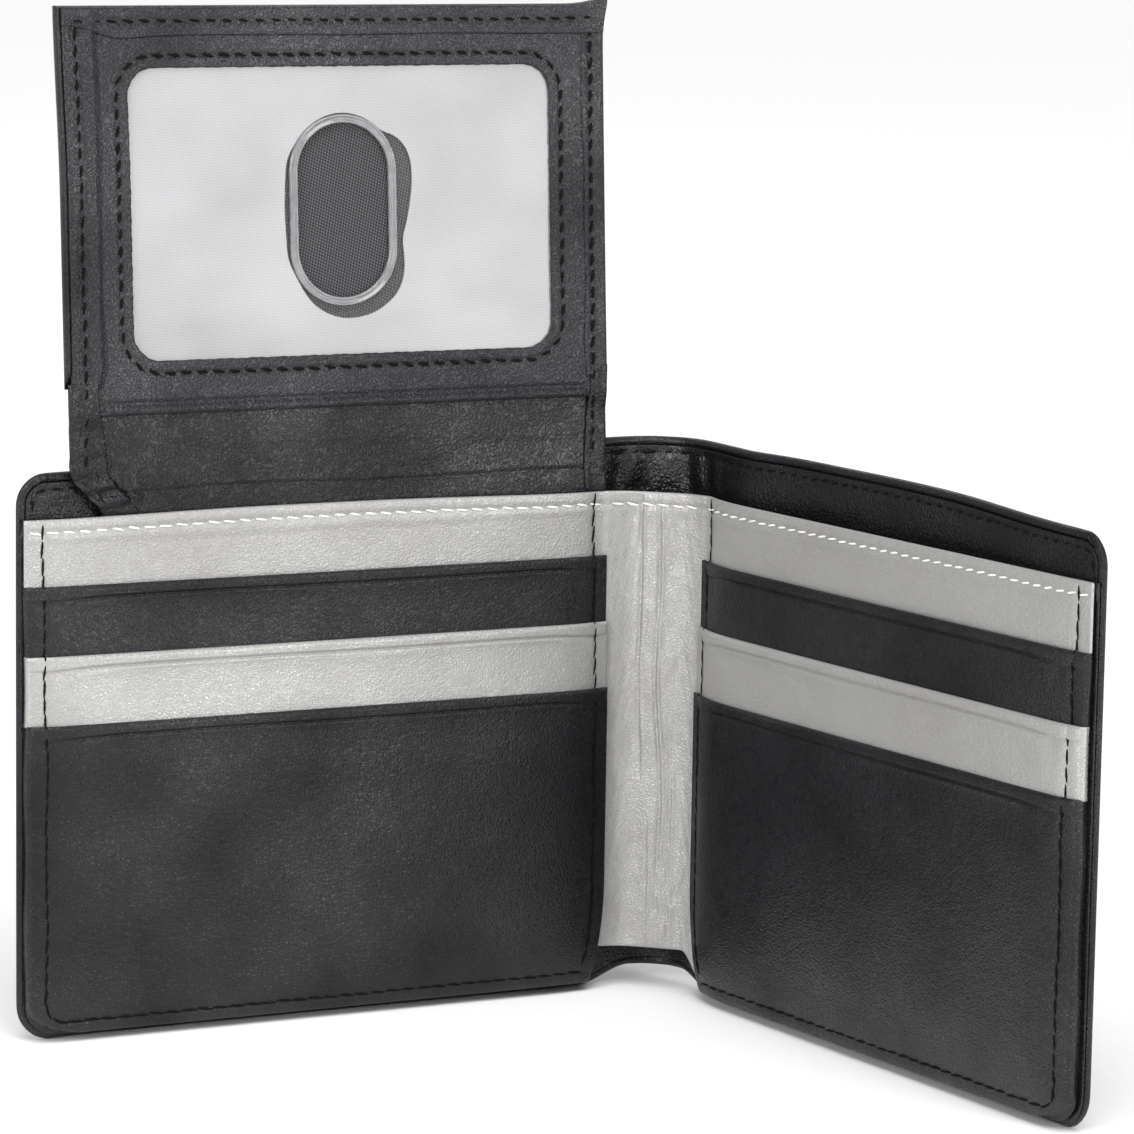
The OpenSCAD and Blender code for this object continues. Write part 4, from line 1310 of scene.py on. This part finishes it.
edge = np.clip(np.minimum(from_window, from_outer), 0, None)
row = np.arange(len(steps))[:, None] + 0 * x
edge = np.where((row == 0) | (row == len(steps) - 1), 0, edge)
from_low = z - frame_low
roll = 0.50 * np.exp(-(((from_low - 0.75) / 0.6) ** 2))
roll = roll - 0.32 * np.exp(-(((from_low - 1.8) / 0.36) ** 2))
between = soft_step(x, leaf_in + 3.5, leaf_in + 4.5) * (1 - soft_step(x, leaf_out - 7, leaf_out - 5.5))
uneven = 0.08 * swell(x, z, 20, 161) + 0.03 * swell(x, z, 6, 162)
grooves = seam_groove(from_window - 2.0, 0.16, 0.42)
relief = roll * between + (uneven - grooves) * soft_step(edge, 0.2, 1)
frame_t = 0.58
middle = frame_front + frame_t / 2
half_t = frame_t / 2 * worn_round(edge, frame_t)
window_frame = make_piece(
    "window_frame_leather",
    [closed_sheet(on_leaf(x, middle - half_t - relief, z), on_leaf(x, middle + half_t, z), wrap=True)],
    frame_leather_painted_lit,
)
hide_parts("window_frame")
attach(window_frame, "window_leaf")

binding_low = 19.8
leaf_seam = 2.5


def laid_on_frame(front):
    """Front and back points' depths of a strip whose border is skived down onto the frame"""
    border = np.ones_like(front, bool)
    border[1:-1, 1:-1] = False
    front = np.where(border, frame_front + 0.02, front)
    return front, np.where(border, frame_front + 0.02, frame_front + 0.17)


def binding(name, edge_x, inward, width, soft, node, top):
    """A side binding laid on the frame, from its outer edge inward, thinned where it is skived"""
    across = grid_lines(0, 1, 0.07, (0, 0.02, 0.08), (1, 0.02, 0.08), (leaf_seam / width, 0.04, 0.12))
    zs = grid_lines(binding_low, top, 1.1, (binding_low, 0.15, 1.0), (top, 0.3, 0.8))
    u, z = np.meshgrid(across, zs)
    reach = width + 0.20 * np.sin(z / 9) + 0.12 * np.sin(z / 3.1)
    narrowing = soft_step(z, binding_low + 4, binding_low)
    reach = reach - (0.35 if inward > 0 else 0.9) * narrowing
    x = edge_x + inward * u * reach
    z = z - (1.3 * u if inward > 0 else 0.5 * (1 - u)) * narrowing
    edge = np.minimum(u * reach, z - z[0])
    inner = (1 - u) * reach
    thick = 0.38 * soft_step(inner, 0, soft) * worn_round(edge, 0.5) + 0.02
    ridge = 0.09 * swell(x, z * 0.3, 5, 171) + 0.14 * np.exp(-(((u * reach - 0.7) / 0.5) ** 2))
    ridge = ridge + 0.16 * np.exp(-(((u * reach - 4.6) / 0.6) ** 2)) * (inward < 0)
    groove = seam_groove(u * reach - leaf_seam, 0.20, 0.5)
    front = frame_front - thick - (ridge - groove) * soft_step(np.minimum(edge, inner), 0.1, 0.8)
    front, back = laid_on_frame(front)
    obj = make_piece(name, [closed_sheet(on_leaf(x, front, z), on_leaf(x, back, z))], frame_leather_painted_lit)
    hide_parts(node)
    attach(obj, "window_leaf")


hem_low = leaf_top - 5.0
binding("outer_side_binding", leaf_out - 0.75, -1, 6.0, 1.6, "flap_outer_binding", hem_low + 3.2)
binding("spine_side_binding", leaf_in + 0.1, 1, 3.9, 0.25, "flap_inner_binding", hem_low + 3.2)

us = grid_lines(0, 1, 0.012, (0, 0.002, 0.006), (1, 0.002, 0.006))
vs = grid_lines(0, 1, 0.10, (0, 0.02, 0.08), (1, 0.02, 0.08), (0.5, 0.07, 0.12))
u, v = np.meshgrid(us, vs)
x = leaf_in + 0.15 + (leaf_out - leaf_in - 0.85) * u
from_side = leaf_out - x
hem_drop = 5.0 + 0.35 * np.exp(-(((from_side - 11) / 3) ** 2)) + 0.08 * np.sin(x / 6)
hem_drop = hem_drop - 1.7 * (1 - soft_step(from_side, 1.5, 10))
z = leaf_top - 0.3 - (hem_drop - 0.3) * (1 - v)
edge = np.minimum(np.minimum(x - leaf_in - 0.15, leaf_out - 0.7 - x), leaf_top - 0.3 - z)
below = z - (leaf_top - hem_drop)
thick = 0.30 * soft_step(below, 0, 0.25) * worn_round(edge, 0.6) + 0.02
over_inner = 1 - soft_step(x, leaf_in + 3.9, leaf_in + 4.4)
over = 0.42 * np.maximum(over_inner, soft_step(x, leaf_out - 6.9, leaf_out - 5.6))
mitre = np.exp(-(((from_side - (leaf_top - z)) / 0.22) ** 2)) * (from_side < 3.2)
groove = seam_groove(leaf_top - leaf_seam - z, 0.22, 0.5) + 0.25 * mitre
uneven = 0.08 * swell(x, z, 14, 181) + 0.04 * swell(x, z, 4, 182)
front = frame_front - thick - over - (uneven - groove) * soft_step(np.minimum(edge, below), 0.05, 0.7)
front, back = laid_on_frame(front)
hem = make_piece("top_hem", [closed_sheet(on_leaf(x, front, z), on_leaf(x, back, z))], frame_leather_painted_lit)
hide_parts("flap_top_hem")
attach(hem, "window_leaf")

# ---- Seams of the window leaf ----
# The same black thread goes round the window, 2 mm outside the opening, and round the
# leaf's three free edges, through to its back.

seam_ring = round_ring(
    window_in - 2, window_out + 2, window_low - 2, window_high + 2, window_r + 2, (20, 30), 12
)
path = seam_path(np.concatenate([seam_ring, seam_ring[:1]]))
bold = {"width": 0.52, "slant": 0.12, "lift": 0.06}
mesh = stitches(path, on_leaf, lambda x, z: frame_front + 0.08 + 0 * x, 191, **bold)
thread = make_piece("window_thread", [mesh], black_thread)
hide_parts("window_stitching")
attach(thread, "window_leaf")

sides = [
    (leaf_out - leaf_seam - 0.5, 17.5),
    (leaf_out - leaf_seam - 0.4, leaf_top - leaf_seam),
    (leaf_in + leaf_seam, leaf_top - leaf_seam),
    (leaf_in + leaf_seam + 0.1, 17.5),
]
path = seam_path(sides)
low_left = seam_path([(strip_out - 2.6, 15.8), (strip_out - 2.6, 7.0)])
low_right = seam_path([(strip_in + 2.0, 15.8), (strip_in + 2.0, 6.0)])


def leaf_face(x, z):
    """Face of the bindings and the hem that the thread lies on"""
    outer = soft_step(x, leaf_out - 6, leaf_out - 5)
    inner = 1 - soft_step(x, leaf_in + 3.4, leaf_in + 4)
    return frame_front - 0.12 - 0.26 * np.maximum(outer, inner)


def strip_face(x, z):
    """Face of the hinge strip's side hems that the thread lies on"""
    return -0.42 - 0.92 * soft_step(z, 12.5, 16.5) + 0.08


thread = make_piece(
    "leaf_edge_thread",
    [
        stitches(path, on_leaf, leaf_face, 192, width=0.48, slant=0.10, lift=0.06),
        stitches(path, on_leaf, lambda x, z: back_rear - 0.10 + 0 * x, 193, toward=1, width=0.44),
        stitches(low_left, on_leaf, strip_face, 194, width=0.44),
        stitches(low_right, on_leaf, strip_face, 195, width=0.44),
    ],
    black_thread,
)
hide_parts("flap_edge_stitching")
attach(thread, "window_leaf")

# ---- Studio ----
# A pale floor, a bright even surround and four soft lights: a bank overhead, a softbox at
# each side and a lamp behind. The camera stands low on the left of the open wallet.

floor_mesh = bpy.data.meshes.new("studio_floor")
reach = 14.0
floor_mesh.from_pydata(
    [(-reach, -reach, 0), (reach, -reach, 0), (reach, reach, 0), (-reach, reach, 0)], [], [(0, 1, 2, 3)]
)
floor = bpy.data.objects.new("studio_floor", floor_mesh)
bpy.context.scene.collection.objects.link(floor)
pale_paper, tree, shader = new_finish("pale_backdrop_paper", Roughness=0.9)
place = add(tree, "TexCoord").outputs["Object"]
paper_tooth = 2.5
tint(tree, shader, noise(tree, place, paper_tooth, 2.0).outputs["Fac"], "#f4f4f4", "#f8f8f8")
floor_mesh.materials.append(pale_paper)

world = bpy.data.worlds.new("surround")
bpy.context.scene.world = world
world.use_nodes = True
world.node_tree.nodes["Background"].inputs["Color"].default_value = (1, 1, 1, 1)
world.node_tree.nodes["Background"].inputs["Strength"].default_value = 0.42


def soft_light(name, kind, place, target, power, **settings):
    """A soft light at a place, aimed at a point, in metres"""
    data = bpy.data.lights.new(name, kind)
    data.energy = power
    for key, value in settings.items():
        setattr(data, key, value)
    light = bpy.data.objects.new(name, data)
    light.location = place
    aim = np.array(target) - np.array(place)
    light.rotation_euler = (
        math.atan2(math.hypot(aim[0], aim[1]), -aim[2]),
        0,
        math.atan2(aim[1], aim[0]) - math.pi / 2,
    )
    bpy.context.scene.collection.objects.link(light)


soft_light("overhead_bank", "SUN", (-0.25, -0.75, 1.5), (0, 0, 0), 2.3, angle=math.radians(40))
soft_light("left_softbox", "AREA", (-0.80, -0.35, 0.35), (0, 0, 0.08), 4.5, size=0.35)
soft_light("rear_lamp", "POINT", (0.5, 1.0, 0.8), (0, 0, 0.06), 5.0, shadow_soft_size=0.3)
soft_light("right_softbox", "AREA", (0.38, -0.80, 0.22), (0, 0.03, 0.06), 3.2, size=0.3)

camera_data = bpy.data.cameras.new("camera")
camera_data.sensor_width = 36
camera_data.lens = 158.7
camera = bpy.data.objects.new("camera", camera_data)
camera.location = (-0.3197, -0.6744, 0.1971)
camera.rotation_mode = "XYZ"
camera_yaw, camera_pitch, camera_roll = (math.radians(a) for a in (25.65, 8.90, 0.93))
level = math.cos(camera_pitch)
aim = [math.sin(camera_yaw) * level, math.cos(camera_yaw) * level, -math.sin(camera_pitch)]
aim = np.array(aim)
flat = np.array([math.cos(camera_yaw), -math.sin(camera_yaw), 0])
above = np.cross(flat, aim)
right = math.cos(camera_roll) * flat + math.sin(camera_roll) * above
above = math.cos(camera_roll) * above - math.sin(camera_roll) * flat
pose = np.stack([right, above, -aim], 1)
camera.matrix_world = Matrix([[*pose[i], camera.location[i]] for i in range(3)] + [[0, 0, 0, 1]])
camera_data.clip_start = 0.01
bpy.context.scene.collection.objects.link(camera)
bpy.context.scene.camera = camera
bpy.context.scene.view_settings.view_transform = "Standard"
